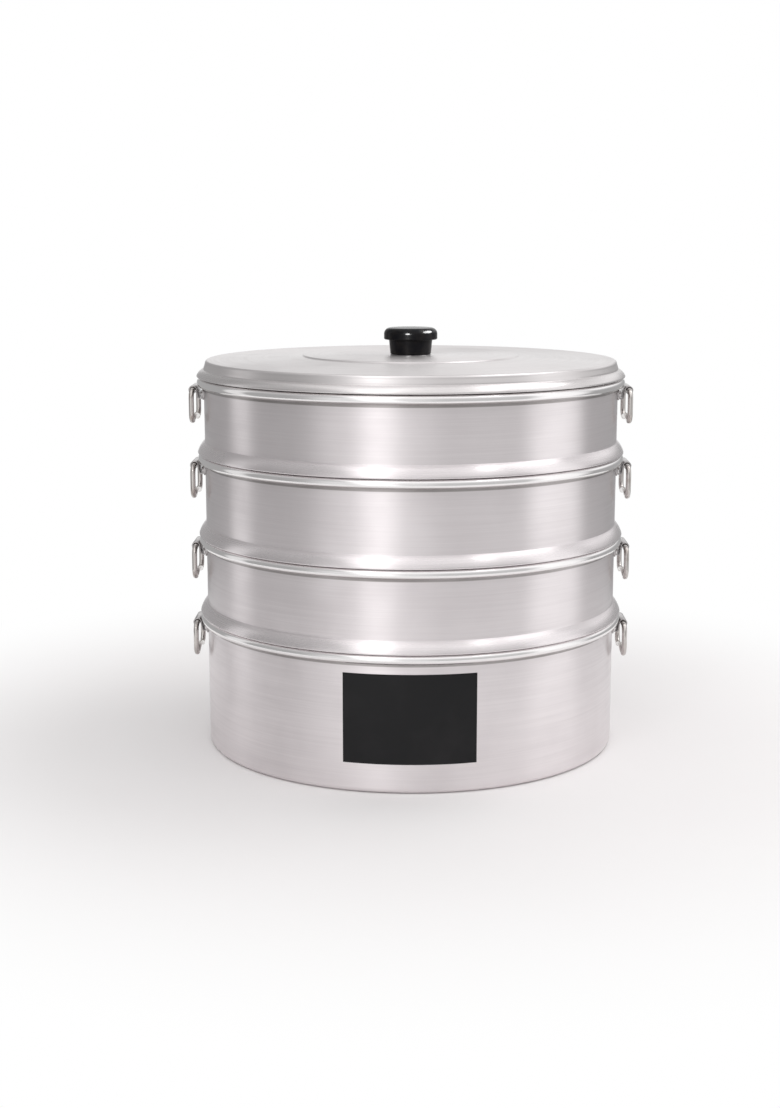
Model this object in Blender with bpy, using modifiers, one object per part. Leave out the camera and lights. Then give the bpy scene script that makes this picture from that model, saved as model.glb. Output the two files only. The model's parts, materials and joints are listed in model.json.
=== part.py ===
"""A stacked aluminium steamer: a water pot, three perforated trays and a lid with a black knob.

Every vessel is spun from sheet. Its rim is rolled outwards into a bead. The foot of a tray flares
into a skirt that rests on the bead below, turns back under itself as a flat seat and runs down as a
spigot inside the vessel below, where the perforated floor closes it. The lid has the same foot.
Two drop rings hang on each vessel, in curled lugs that are riveted through its wall.

Metres, +Z up. The origin is on the stack's axis, on the face that the water pot stands on.
"""
import math

import bmesh
import bpy

# Sheet, wall and rolled rim
WALL_RADIUS = 0.1750
SHEET = 0.0020
BEAD_RADIUS = 0.0040
POT_CORNER = 0.0040
SEAT_GAP = 0.0003

# Heights: the water pot's rim, each tray's rise above the rim that it stands on, and the lid's
POT_HEIGHT = 0.1128
TRAY_RISES = {"lower_tray": 0.0672, "middle_tray": 0.0698, "upper_tray": 0.0641}
LID_RISE = 0.0141

# Foot of the trays and the lid
SKIRT_RISE = 0.0105
LID_SKIRT_RISE = 0.0068
SKIRT_BULGE = 0.0008
LIP_RADIUS = 0.0010
SPIGOT_CLEARANCE = 0.0008
TRAY_SPIGOT = 0.0120
LID_SPIGOT = 0.0090
SPIGOT_CORNER = 0.0035

# Perforated floors: a hole at the centre and rows round it, each with five holes more than the last
HOLE_DIAMETER = 0.0105
HOLE_PITCH = 0.0350
HOLE_ROWS = 4
HOLES_PER_ROW = 5

# Lid top
LID_EDGE_RADIUS = 0.0025
LID_TAPER = 0.0012
LID_CROWN = 0.0026
DISC_RADIUS = 0.0920
DISC_RISE = 0.0012
DISC_SLOPE = 0.0016

# Knob and what holds it
KNOB_CAP_RADIUS = 0.0226
KNOB_CAP_HEIGHT = 0.0104
KNOB_CAP_EDGE = 0.0052
KNOB_CAP_CROWN = 0.0006
KNOB_NECK_TOP = 0.0184
KNOB_NECK_FOOT = 0.0172
KNOB_NECK_HEIGHT = 0.0122
INSERT_RADIUS = 0.0042
INSERT_LENGTH = 0.0110
SCREW_RADIUS = 0.0020
SCREW_REACH = 0.0090
SCREW_HEAD_RADIUS = 0.0045
SCREW_HEAD_FACE = 0.0034
SCREW_HEAD_HEIGHT = 0.0026
SCREW_HEAD_SIDE = 0.0013
SCREW_SLOT_WIDTH = 0.0010
SCREW_SLOT_DEPTH = 0.0012
WASHER_RADIUS = 0.0085
WASHER_THICKNESS = 0.0012
FIT_CLEARANCE = 0.0003

# Drop rings
RING_WIRE = 0.0044
RING_WIDTH = 0.0505
RING_DROP = 0.0255
RING_TOP_CORNER = 0.0070
RING_FOOT_CORNER = 0.0080
RING_ARCH = 0.0030

# Lugs: where the ring's bar lies, the strap that curls round it and the plate on the wall
BAR_REACH = 0.0090
BAR_DROP = 0.0115
BAR_CLEARANCE = 0.00035
STRAP_THICKNESS = 0.0013
STRAP_WIDTH = 0.0280
STRAP_FOLD = 0.0021
FOLD_TURN = 173.0
CURL_START = 173.0
CURL_END = -100.0
LUG_FOOT_DROP = 0.0080
PLATE_WIDTH = 0.0440
PLATE_TOP = 0.0022
PLATE_THICKNESS = 0.0013
PLATE_CORNER = 0.0040

# Rivets
RIVET_SPACING = 0.0356
RIVET_DROP = 0.0030
RIVET_SHANK = 0.0017
RIVET_HEAD = 0.0033
RIVET_HEAD_HEIGHT = 0.0014
RIVET_TAIL_HEIGHT = 0.0007

# Fineness of the solids
TURNED_STEPS = 32
SMALL_STEPS = 16
SMALL_HOLE_SIDES = 6
BEAD_STEPS = 6

SIDES = {"right": 0.0, "left": math.pi}


def clear_scene():
    """Remove what a new file starts with."""
    for obj in list(bpy.data.objects):
        bpy.data.objects.remove(obj, do_unlink=True)


def new_collection(name):
    """A collection linked to the scene."""
    collection = bpy.data.collections.new(name)
    bpy.context.scene.collection.children.link(collection)
    return collection


def new_material(name, colour, roughness, metallic):
    """A Principled material."""
    material = bpy.data.materials.new(name)
    material.use_nodes = True
    shader = material.node_tree.nodes["Principled BSDF"]
    shader.inputs["Base Color"].default_value = (*colour, 1.0)
    shader.inputs["Roughness"].default_value = roughness
    shader.inputs["Metallic"].default_value = metallic
    return material


def place(name, mesh, material, location=(0.0, 0.0, 0.0), turn=0.0, carrier=None):
    """An object of the steamer, on the piece that carries it."""
    obj = bpy.data.objects.new(name, mesh)
    obj.parent = carrier
    obj.location = location
    obj.rotation_euler = (0.0, 0.0, turn)
    if material.name not in mesh.materials:
        mesh.materials.append(material)
    steamer.objects.link(obj)
    return obj


def smooth(mesh):
    """Shade a round piece smooth, with its edges kept sharp."""
    mesh.shade_smooth()
    mesh.set_sharp_from_angle(angle=math.radians(35))


def as_guide(obj):
    """Put a new object among the cutters, shown as wire."""
    cutters.objects.link(obj)
    obj.hide_render = True
    obj.display_type = "WIRE"
    return obj


def baked(obj):
    """The evaluated mesh of an object, welded, in place of the object."""
    bpy.context.view_layer.update()
    graph = bpy.context.evaluated_depsgraph_get()
    mesh = bpy.data.meshes.new_from_object(obj.evaluated_get(graph))
    mesh.transform(obj.matrix_world)
    shape = bmesh.new()
    shape.from_mesh(mesh)
    bmesh.ops.remove_doubles(shape, verts=shape.verts, dist=0.000001)
    bmesh.ops.recalc_face_normals(shape, faces=shape.faces)
    shape.to_mesh(mesh)
    shape.free()
    bpy.data.objects.remove(obj, do_unlink=True)
    return mesh


def boolean(obj, operation, other):
    """Join or cut an object with another, which stays as a guide."""
    modifier = obj.modifiers.new(operation.title(), "BOOLEAN")
    modifier.operation = operation
    modifier.solver = "EXACT"
    modifier.object = other


def arc(centre, radius, start, end, steps):
    """Points on an arc in the plane of a profile, from one angle to another in degrees."""
    points = []
    for step in range(steps + 1):
        angle = math.radians(start + (end - start) * step / steps)
        points.append((centre[0] + radius * math.cos(angle), centre[1] + radius * math.sin(angle)))
    return points


def bowed(start, end, bulge, steps):
    """Points from start to end on a line that bows to its left by the bulge."""
    run = (end[0] - start[0], end[1] - start[1])
    length = math.hypot(*run)
    across = (-run[1] / length, run[0] / length)
    points = []
    for step in range(steps + 1):
        share = step / steps
        lift = 4.0 * bulge * share * (1.0 - share)
        points.append((start[0] + run[0] * share + across[0] * lift,
                       start[1] + run[1] * share + across[1] * lift))
    return points


def dome(radius, height, base, steps):
    """Points down a shallow round head, from its crown to its edge at the base's height."""
    sphere = (radius ** 2 + height ** 2) / (2.0 * height)
    spread = math.degrees(math.asin(radius / sphere))
    return arc((0.0, base + height - sphere), sphere, 90, 90 - spread, steps)


def turned(name, profile, material, steps, closed=False, carrier=None):
    """A profile of radius and height points, turned about the vertical axis."""
    mesh = bpy.data.meshes.new(name)
    edges = [(index, index + 1) for index in range(len(profile) - 1)]
    if closed:
        edges.append((len(profile) - 1, 0))
    mesh.from_pydata([(radius, 0.0, height) for radius, height in profile], edges, [])
    obj = place(name, mesh, material, carrier=carrier)
    screw = obj.modifiers.new("Turn", "SCREW")
    screw.axis = "Z"
    screw.steps = steps
    screw.render_steps = steps
    screw.use_merge_vertices = True
    screw.merge_threshold = 0.00001
    screw.use_smooth_shade = True
    return obj


def flatten(obj):
    """Make each flat face that a turned profile cut into wedges one face again."""
    planar = obj.modifiers.new("Flat faces", "DECIMATE")
    planar.decimate_type = "DISSOLVE"
    planar.angle_limit = math.radians(0.05)


def flat_outline(name, points, thickness):
    """A closed outline in its own X and Y, filled and given a thickness along its own Z."""
    curve = bpy.data.curves.new(name, "CURVE")
    curve.dimensions = "2D"
    curve.fill_mode = "BOTH"
    curve.extrude = thickness / 2
    spline = curve.splines.new("POLY")
    spline.points.add(len(points) - 1)
    for point, (x, y) in zip(spline.points, points):
        point.co = (x, y, 0.0, 1.0)
    spline.use_cyclic_u = True
    obj = bpy.data.objects.new(name, curve)
    cutters.objects.link(obj)
    return obj


def radial_cylinder(name, radius, inner, outer, sides, angle, height):
    """A cylinder whose axis is a radius of the stack, between two distances from the stack's axis."""
    shape = bmesh.new()
    bmesh.ops.create_cone(shape, cap_ends=True, segments=sides, radius1=radius, radius2=radius,
                          depth=outer - inner)
    mesh = bpy.data.meshes.new(name)
    shape.to_mesh(mesh)
    shape.free()
    obj = bpy.data.objects.new(name, mesh)
    middle = (inner + outer) / 2
    obj.location = (middle * math.cos(angle), middle * math.sin(angle), height)
    obj.rotation_euler = (0.0, math.radians(90), angle)
    return as_guide(obj)


# Turned vessels

INNER_RADIUS = WALL_RADIUS - SHEET
SPIGOT_RADIUS = INNER_RADIUS - SPIGOT_CLEARANCE
BEAD_CENTRE = INNER_RADIUS + BEAD_RADIUS
SKIRT_RADIUS = BEAD_CENTRE + BEAD_RADIUS


def rolled_rim(rim):
    """The rolled bead, from the inner face of the wall over the top to the outer face."""
    centre = (BEAD_CENTRE, rim - BEAD_RADIUS)
    points = arc(centre, BEAD_RADIUS, 180, -90, BEAD_STEPS)
    rise = math.sqrt(BEAD_RADIUS ** 2 - (BEAD_CENTRE - WALL_RADIUS) ** 2)
    points.append((WALL_RADIUS, rim - BEAD_RADIUS - rise))
    return points


def foot_outside(rim, rise, wall):
    """The skirt from the crease in the wall down to its lip, and the seat back to the spigot."""
    seat = rim + SEAT_GAP
    crease = (wall, rim + rise)
    lip = (SKIRT_RADIUS, seat + LIP_RADIUS)
    return bowed(crease, lip, SKIRT_BULGE, 2) + [(SKIRT_RADIUS - LIP_RADIUS, seat), (SPIGOT_RADIUS, seat)]


def foot_inside(rim, rise, wall):
    """The inner face of the seat and the skirt, one sheet inside the outer face, up to the wall."""
    seat = rim + SEAT_GAP
    slope = (SKIRT_RADIUS - wall) / (rim + rise - seat - LIP_RADIUS)
    across = SHEET * math.hypot(1.0, slope)
    fold = SKIRT_RADIUS - slope * (SHEET - LIP_RADIUS) - across
    crease = rim + rise - (across - SHEET) / slope
    return [(SPIGOT_RADIUS - SHEET, seat + SHEET), (fold, seat + SHEET), (wall - SHEET, crease)]


def pot_profile():
    """The water pot: a flat floor, a small corner, a straight wall and the rolled rim."""
    centre = WALL_RADIUS - POT_CORNER
    inside = arc((centre, POT_CORNER), POT_CORNER - SHEET, -90, 0, 1)
    outside = arc((centre, POT_CORNER), POT_CORNER, 0, -90, 2)
    return [(0.0, SHEET)] + inside + rolled_rim(POT_HEIGHT) + outside + [(0.0, 0.0)]


def tray_profile(below, rim):
    """A tray: floor, spigot, seat, skirt, wall and rolled rim, as one sheet."""
    floor = below - TRAY_SPIGOT
    corner = (SPIGOT_RADIUS - SPIGOT_CORNER, floor + SPIGOT_CORNER)
    inside = arc(corner, SPIGOT_CORNER - SHEET, -90, 0, 1)
    outside = arc(corner, SPIGOT_CORNER, 0, -90, 1)
    return ([(0.0, floor + SHEET)] + inside + foot_inside(below, SKIRT_RISE, WALL_RADIUS)
            + rolled_rim(rim) + foot_outside(below, SKIRT_RISE, WALL_RADIUS) + outside + [(0.0, floor)])


def lid_profile(rim):
    """The lid: a top that rises a little to a raised disc, a low wall, the skirt and an open spigot."""
    top = rim + LID_RISE
    crown = top + LID_CROWN
    disc = crown + DISC_RISE
    shoulder = WALL_RADIUS - LID_TAPER
    edge = (shoulder - LID_EDGE_RADIUS, top - LID_EDGE_RADIUS)
    hole = SCREW_RADIUS + FIT_CLEARANCE
    outside = [(hole, disc), (DISC_RADIUS - DISC_SLOPE, disc), (DISC_RADIUS, crown)]
    outside += arc(edge, LID_EDGE_RADIUS, 90, 0, 2)
    outside += foot_outside(rim, LID_SKIRT_RISE, WALL_RADIUS)
    end = rim - LID_SPIGOT
    spigot = [(SPIGOT_RADIUS, end), (SPIGOT_RADIUS - SHEET, end)]
    inside = foot_inside(rim, LID_SKIRT_RISE, WALL_RADIUS)
    inside += [(shoulder - SHEET, top - SHEET), (DISC_RADIUS, crown - SHEET),
               (DISC_RADIUS - DISC_SLOPE, disc - SHEET), (hole, disc - SHEET)]
    return outside + spigot + inside


def hole_places():
    """The centres of the holes in a floor: one in the middle and rows round it."""
    places = [(0.0, 0.0)]
    for row in range(1, HOLE_ROWS + 1):
        count = HOLES_PER_ROW * row
        for index in range(count):
            angle = 2.0 * math.pi * (index + 0.5 * (row % 2)) / count
            places.append((row * HOLE_PITCH * math.cos(angle), row * HOLE_PITCH * math.sin(angle)))
    return places


def punch(name, floor):
    """All the punches of a tray's floor, as one cutter."""
    shape = bmesh.new()
    for x, y in hole_places():
        made = bmesh.ops.create_cone(shape, cap_ends=True, segments=SMALL_HOLE_SIDES, depth=4.0 * SHEET,
                                     radius1=HOLE_DIAMETER / 2, radius2=HOLE_DIAMETER / 2)
        bmesh.ops.translate(shape, verts=made["verts"], vec=(x, y, floor + SHEET / 2))
    mesh = bpy.data.meshes.new(name)
    shape.to_mesh(mesh)
    shape.free()
    return as_guide(bpy.data.objects.new(name, mesh))


def rivet_angles(side):
    """The bearings of a lug's two rivets, seen from the stack's axis."""
    half = RIVET_SPACING / 2 / WALL_RADIUS
    return (side - half, side + half)


def drill_wall(obj, rim):
    """Cut the rivet holes of both lugs through a vessel's wall."""
    height = rim - BAR_DROP - RIVET_DROP
    for side_name, side in SIDES.items():
        for index, angle in enumerate(rivet_angles(side)):
            name = f"drill_{obj.name}_{side_name}_{index}"
            drill = radial_cylinder(name, RIVET_SHANK + FIT_CLEARANCE, INNER_RADIUS - SHEET,
                                    WALL_RADIUS + SHEET, SMALL_HOLE_SIDES, angle, height)
            boolean(obj, "DIFFERENCE", drill)


def build_vessels():
    """The water pot and the trays, each with its rim's height, and the lid."""
    pot = turned("base_pot", pot_profile(), new_material("pot_aluminium", (0.80, 0.80, 0.80), 0.30, 1.0),
                 TURNED_STEPS)
    flatten(pot)
    drill_wall(pot, POT_HEIGHT)
    vessels = {pot: POT_HEIGHT}
    below = POT_HEIGHT
    for name, rise in TRAY_RISES.items():
        rim = below + rise
        tray = turned(name, tray_profile(below, rim),
                      new_material(name + "_aluminium", (0.78, 0.77, 0.78), 0.33, 1.0), TURNED_STEPS)
        flatten(tray)
        boolean(tray, "DIFFERENCE", punch(name + "_punch", below - TRAY_SPIGOT))
        drill_wall(tray, rim)
        vessels[tray] = rim
        below = rim
    lid = turned("lid", lid_profile(below), new_material("lid_aluminium", (0.82, 0.81, 0.82), 0.32, 1.0),
                 TURNED_STEPS, closed=True)
    build_knob(lid, below + LID_RISE + LID_CROWN + DISC_RISE)
    return vessels


# Knob

def build_knob(lid, seat):
    """The knob on the lid, its insert, and the screw and washer that hold it from below."""
    black = new_material("black_bakelite", (0.012, 0.012, 0.013), 0.12, 0.0)
    brass = new_material("brass", (0.72, 0.55, 0.26), 0.30, 1.0)
    steel = new_material("screw_steel", (0.62, 0.62, 0.63), 0.28, 1.0)
    zinc = new_material("washer_steel", (0.58, 0.58, 0.58), 0.35, 1.0)
    foot = seat + SEAT_GAP
    cap_foot = foot + KNOB_NECK_HEIGHT
    cap_top = cap_foot + KNOB_CAP_HEIGHT
    bore = INSERT_RADIUS + FIT_CLEARANCE
    bore_top = foot + INSERT_LENGTH + FIT_CLEARANCE
    rim = arc((KNOB_CAP_RADIUS - KNOB_CAP_EDGE, cap_top - KNOB_CAP_CROWN - KNOB_CAP_EDGE),
              KNOB_CAP_EDGE, 90, 0, 3)
    underside = arc((KNOB_CAP_RADIUS - KNOB_CAP_CROWN, cap_foot + KNOB_CAP_CROWN), KNOB_CAP_CROWN, 0, -90, 1)
    profile = [(0.0, cap_top)] + rim + underside
    profile += [(KNOB_NECK_TOP, cap_foot), (KNOB_NECK_FOOT, foot), (bore, foot), (bore, bore_top),
                (0.0, bore_top)]
    turned("knob", profile, black, SMALL_STEPS, carrier=lid)

    screw_bore = SCREW_RADIUS + FIT_CLEARANCE
    insert_top = foot + INSERT_LENGTH
    turned("knob_insert", [(screw_bore, insert_top), (INSERT_RADIUS, insert_top), (INSERT_RADIUS, foot),
                           (screw_bore, foot)], brass, SMALL_STEPS // 2, closed=True, carrier=lid)

    washer_top = seat - SHEET - SEAT_GAP
    washer_foot = washer_top - WASHER_THICKNESS
    turned("knob_washer", [(screw_bore, washer_top), (WASHER_RADIUS, washer_top),
                           (WASHER_RADIUS, washer_foot), (screw_bore, washer_foot)],
           zinc, SMALL_STEPS // 2, closed=True, carrier=lid)

    head_top = washer_foot - SEAT_GAP
    head_foot = head_top - SCREW_HEAD_HEIGHT
    screw = turned("knob_screw", [(0.0, foot + SCREW_REACH), (SCREW_RADIUS, foot + SCREW_REACH),
                                  (SCREW_RADIUS, head_top), (SCREW_HEAD_RADIUS, head_top),
                                  (SCREW_HEAD_RADIUS, head_top - SCREW_HEAD_SIDE),
                                  (SCREW_HEAD_FACE, head_foot), (0.0, head_foot)],
                   steel, SMALL_STEPS // 2, carrier=lid)
    flatten(screw)
    shape = bmesh.new()
    bmesh.ops.create_cube(shape, size=1.0)
    slot_mesh = bpy.data.meshes.new("screw_slot")
    shape.to_mesh(slot_mesh)
    shape.free()
    slot = bpy.data.objects.new("screw_slot", slot_mesh)
    slot.location = (0.0, 0.0, head_foot)
    slot.scale = (3.0 * SCREW_HEAD_RADIUS, SCREW_SLOT_WIDTH, 2.0 * SCREW_SLOT_DEPTH)
    boolean(screw, "DIFFERENCE", as_guide(slot))


# Lugs, rivets and drop rings

BAR_RADIUS = WALL_RADIUS + BAR_REACH


def strap_line():
    """The middle line of the lug's strap in distance from the bar's axis and height above it.

    It starts low on the plate, folds outwards in a round bend, climbs to the bar and curls round it.
    """
    curl = RING_WIRE / 2 + BAR_CLEARANCE + STRAP_THICKNESS / 2
    plate = SEAT_GAP + PLATE_THICKNESS / 2 - BAR_REACH
    fold = (plate + STRAP_FOLD, STRAP_THICKNESS / 2 + STRAP_FOLD - LUG_FOOT_DROP)
    points = [(plate, fold[1] + STRAP_THICKNESS)]
    points += arc(fold, STRAP_FOLD, 180, 180 + FOLD_TURN, 4)
    points += arc((0.0, 0.0), curl, CURL_START, CURL_END, 7)
    return points


def thickened(line, thickness):
    """The closed outline of a strip that follows a line."""
    sides = ([], [])
    for index, point in enumerate(line):
        before = line[max(index - 1, 0)]
        after = line[min(index + 1, len(line) - 1)]
        run = (after[0] - before[0], after[1] - before[1])
        length = math.hypot(*run)
        across = (-run[1] / length * thickness / 2, run[0] / length * thickness / 2)
        sides[0].append((point[0] + across[0], point[1] + across[1]))
        sides[1].append((point[0] - across[0], point[1] - across[1]))
    return sides[0] + sides[1][::-1]


def rounded_box(left, right, foot, top, corner, steps):
    """The outline of a rectangle with round corners."""
    points = arc((right - corner, top - corner), corner, 90, 0, steps)
    points += arc((right - corner, foot + corner), corner, 0, -90, steps)
    points += arc((left + corner, foot + corner), corner, -90, -180, steps)
    points += arc((left + corner, top - corner), corner, 180, 90, steps)
    return points


def wrap_on_wall(mesh):
    """Bend a flat plate, lying in Y and Z, onto the wall, with X as its depth from the wall."""
    shape = bmesh.new()
    shape.from_mesh(mesh)
    everything = shape.verts[:] + shape.edges[:] + shape.faces[:]
    bmesh.ops.bisect_plane(shape, geom=everything, plane_co=(0.0, 0.0, 0.0), plane_no=(0.0, 1.0, 0.0))
    for vertex in shape.verts:
        depth, along, height = vertex.co
        angle = along / WALL_RADIUS
        radius = WALL_RADIUS + depth
        vertex.co = (radius * math.cos(angle) - BAR_RADIUS, radius * math.sin(angle), height)
    shape.to_mesh(mesh)
    shape.free()


def lug_mesh():
    """One lug about its bar's axis: the plate on the wall joined to the strap that curls round the bar."""
    outline = rounded_box(-PLATE_WIDTH / 2, PLATE_WIDTH / 2, -LUG_FOOT_DROP, PLATE_TOP, PLATE_CORNER, 1)
    flat = flat_outline("lug_plate", outline, PLATE_THICKNESS)
    flat.rotation_euler = (math.radians(90), 0.0, math.radians(90))
    flat.location.x = SEAT_GAP + PLATE_THICKNESS / 2
    plate_mesh = baked(flat)
    wrap_on_wall(plate_mesh)
    plate = bpy.data.objects.new("lug_shape", plate_mesh)
    cutters.objects.link(plate)

    strap = flat_outline("lug_strap", thickened(strap_line(), STRAP_THICKNESS), STRAP_WIDTH)
    strap.rotation_euler.x = math.radians(90)
    strap_mesh = baked(strap)
    strap_solid = bpy.data.objects.new("lug_strap_shape", strap_mesh)
    boolean(plate, "UNION", as_guide(strap_solid))
    for index, angle in enumerate(rivet_angles(0.0)):
        drill = radial_cylinder(f"drill_lug_{index}", RIVET_SHANK + FIT_CLEARANCE, WALL_RADIUS - SHEET,
                                WALL_RADIUS + 2.0 * PLATE_THICKNESS, SMALL_HOLE_SIDES, angle, -RIVET_DROP)
        drill.location.x -= BAR_RADIUS
        boolean(plate, "DIFFERENCE", drill)
    return baked(plate)


def rivet_mesh():
    """One rivet with its axis on X, its middle on the wall's outer face and a round head at each end."""
    outer = SEAT_GAP + PLATE_THICKNESS + SEAT_GAP
    inner = INNER_RADIUS * math.cos(math.pi / TURNED_STEPS) - SEAT_GAP - WALL_RADIUS
    profile = dome(RIVET_HEAD, RIVET_HEAD_HEIGHT, outer, 2)
    profile += [(RIVET_SHANK, outer), (RIVET_SHANK, inner), (RIVET_HEAD, inner),
                (0.0, inner - RIVET_TAIL_HEIGHT)]
    blank = turned("rivet_blank", profile, new_material("rivet_aluminium", (0.74, 0.74, 0.74), 0.35, 1.0),
                   SMALL_HOLE_SIDES)
    blank.rotation_euler.y = math.radians(90)
    mesh = baked(blank)
    smooth(mesh)
    return mesh


def ring_line():
    """The middle line of a drop ring in Y and Z, from its bar's axis downwards."""
    half = RING_WIDTH / 2
    top = RING_TOP_CORNER
    foot = RING_FOOT_CORNER
    front = arc((half - top, -top), top, 90, 0, 2)
    front += arc((half - foot, -RING_DROP + foot), foot, 0, -90, 2)
    rear = [(-y, z) for y, z in reversed(front)]
    arch = bowed(front[-1], rear[0], -RING_ARCH, 4)
    return front + arch[1:-1] + rear


def ring_mesh():
    """One drop ring about its bar's axis, a closed loop of wire."""
    curve = bpy.data.curves.new("ring_wire", "CURVE")
    curve.dimensions = "3D"
    curve.bevel_depth = RING_WIRE / 2
    curve.bevel_resolution = 1
    spline = curve.splines.new("POLY")
    line = ring_line()
    spline.points.add(len(line) - 1)
    for point, (y, z) in zip(spline.points, line):
        point.co = (0.0, y, z, 1.0)
    spline.use_cyclic_u = True
    wire = bpy.data.objects.new("ring_wire", curve)
    cutters.objects.link(wire)
    mesh = baked(wire)
    smooth(mesh)
    return mesh


def build_handles(vessels):
    """Two lugs, four rivets and two rings on each vessel."""
    lug = lug_mesh()
    rivet = rivet_mesh()
    ring = ring_mesh()
    lug_metal = new_material("lug_aluminium", (0.66, 0.66, 0.67), 0.34, 1.0)
    ring_metal = new_material("ring_steel", (0.60, 0.60, 0.61), 0.12, 1.0)
    for vessel, rim in vessels.items():
        bar_height = rim - BAR_DROP
        for side_name, side in SIDES.items():
            axis = (BAR_RADIUS * math.cos(side), BAR_RADIUS * math.sin(side), bar_height)
            start = f"{vessel.name}_{side_name}"
            place(start + "_lug", lug, lug_metal, axis, side, vessel)
            place(start + "_ring", ring, ring_metal, axis, side, vessel)
            for label, angle in zip(("front", "rear"), rivet_angles(side)):
                spot = (WALL_RADIUS * math.cos(angle), WALL_RADIUS * math.sin(angle),
                        bar_height - RIVET_DROP)
                place(f"{start}_{label}_rivet", rivet, rivet.materials[0], spot, angle, vessel)


clear_scene()
steamer = new_collection("momo_steamer")
cutters = new_collection("cutters")
build_handles(build_vessels())
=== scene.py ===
"""Dress a stacked aluminium steamer for a studio picture.

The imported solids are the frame. Every piece made here lies where its solid lies and rides on that
solid's body: the spun water pot, trays and lid, the moulded knob with what holds it, and on each vessel
two riveted lugs with their drop rings. A bare label lies on the front of the water pot.

Metres, +Z up. The origin is on the stack's axis, on the face that the water pot stands on.
"""

import json
import logging
import math
from dataclasses import dataclass
from enum import Enum
from functools import cache
from typing import Any

import bmesh
import bpy
from mathutils import Matrix, Vector, noise

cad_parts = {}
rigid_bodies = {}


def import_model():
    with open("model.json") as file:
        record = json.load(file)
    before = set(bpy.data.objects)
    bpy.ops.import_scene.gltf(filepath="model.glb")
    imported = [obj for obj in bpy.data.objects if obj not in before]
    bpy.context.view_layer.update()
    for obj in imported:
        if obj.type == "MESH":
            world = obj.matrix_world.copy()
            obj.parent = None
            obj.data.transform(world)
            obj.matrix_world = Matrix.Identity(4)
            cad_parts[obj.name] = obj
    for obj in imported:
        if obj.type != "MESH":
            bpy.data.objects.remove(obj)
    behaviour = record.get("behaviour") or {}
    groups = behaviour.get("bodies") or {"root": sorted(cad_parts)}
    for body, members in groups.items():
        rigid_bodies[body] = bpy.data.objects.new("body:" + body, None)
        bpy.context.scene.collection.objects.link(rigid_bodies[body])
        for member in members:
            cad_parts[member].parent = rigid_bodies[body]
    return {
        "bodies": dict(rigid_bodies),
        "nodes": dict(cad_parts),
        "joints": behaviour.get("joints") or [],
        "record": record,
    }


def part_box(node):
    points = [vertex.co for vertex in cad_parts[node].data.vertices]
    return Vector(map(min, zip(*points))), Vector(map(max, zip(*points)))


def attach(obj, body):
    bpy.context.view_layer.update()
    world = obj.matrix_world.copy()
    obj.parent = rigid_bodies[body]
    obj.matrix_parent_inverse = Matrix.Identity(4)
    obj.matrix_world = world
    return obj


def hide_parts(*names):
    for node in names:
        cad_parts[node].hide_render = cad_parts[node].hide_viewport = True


LOG = logging.getLogger("steamer")
WELD = 0.0000005
SHARP_ANGLE = 35.0
EASE_STEPS = 5
MIX_FIRST = 6
MIX_SECOND = 7
MIX_RESULT = 2

Point = tuple[float, float]
Span = tuple[float, float]
Place = tuple[float, float, float]
Colour = tuple[float, float, float]


class Side(Enum):
    """The two sides of the stack that carry handles, with their bearings about its axis."""

    RIGHT = 0.0
    LEFT = math.pi

    @property
    def word(self) -> str:
        """The side's name inside a piece's name."""
        return self.name.lower()


class Rivet(Enum):
    """The two rivets of a lug, with the way each lies from the lug's middle."""

    FRONT = -1.0
    REAR = 1.0

    @property
    def word(self) -> str:
        """The rivet's name inside a piece's name."""
        return self.name.lower()


# Shader maths

class Signal:
    """A node's output that takes part in arithmetic."""

    def __init__(self, board: "Board", socket: bpy.types.NodeSocket) -> None:
        """Wrap an output socket of a board.

        Args:
            board: The board that the socket's node is on.
            socket: The output to read.
        """
        self.board = board
        self.socket = socket

    def __add__(self, other: "Signal | float") -> "Signal":
        """The sum of both."""
        return self.board.math("ADD", self, other)

    def __sub__(self, other: "Signal | float") -> "Signal":
        """This less the other."""
        return self.board.math("SUBTRACT", self, other)

    def __rsub__(self, other: float) -> "Signal":
        """A number less this."""
        return self.board.math("SUBTRACT", other, self)

    def __mul__(self, other: "Signal | float") -> "Signal":
        """The product of both."""
        return self.board.math("MULTIPLY", self, other)

    def __truediv__(self, other: "Signal | float") -> "Signal":
        """This divided by the other."""
        return self.board.math("DIVIDE", self, other)

    __radd__ = __add__
    __rmul__ = __mul__


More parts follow.
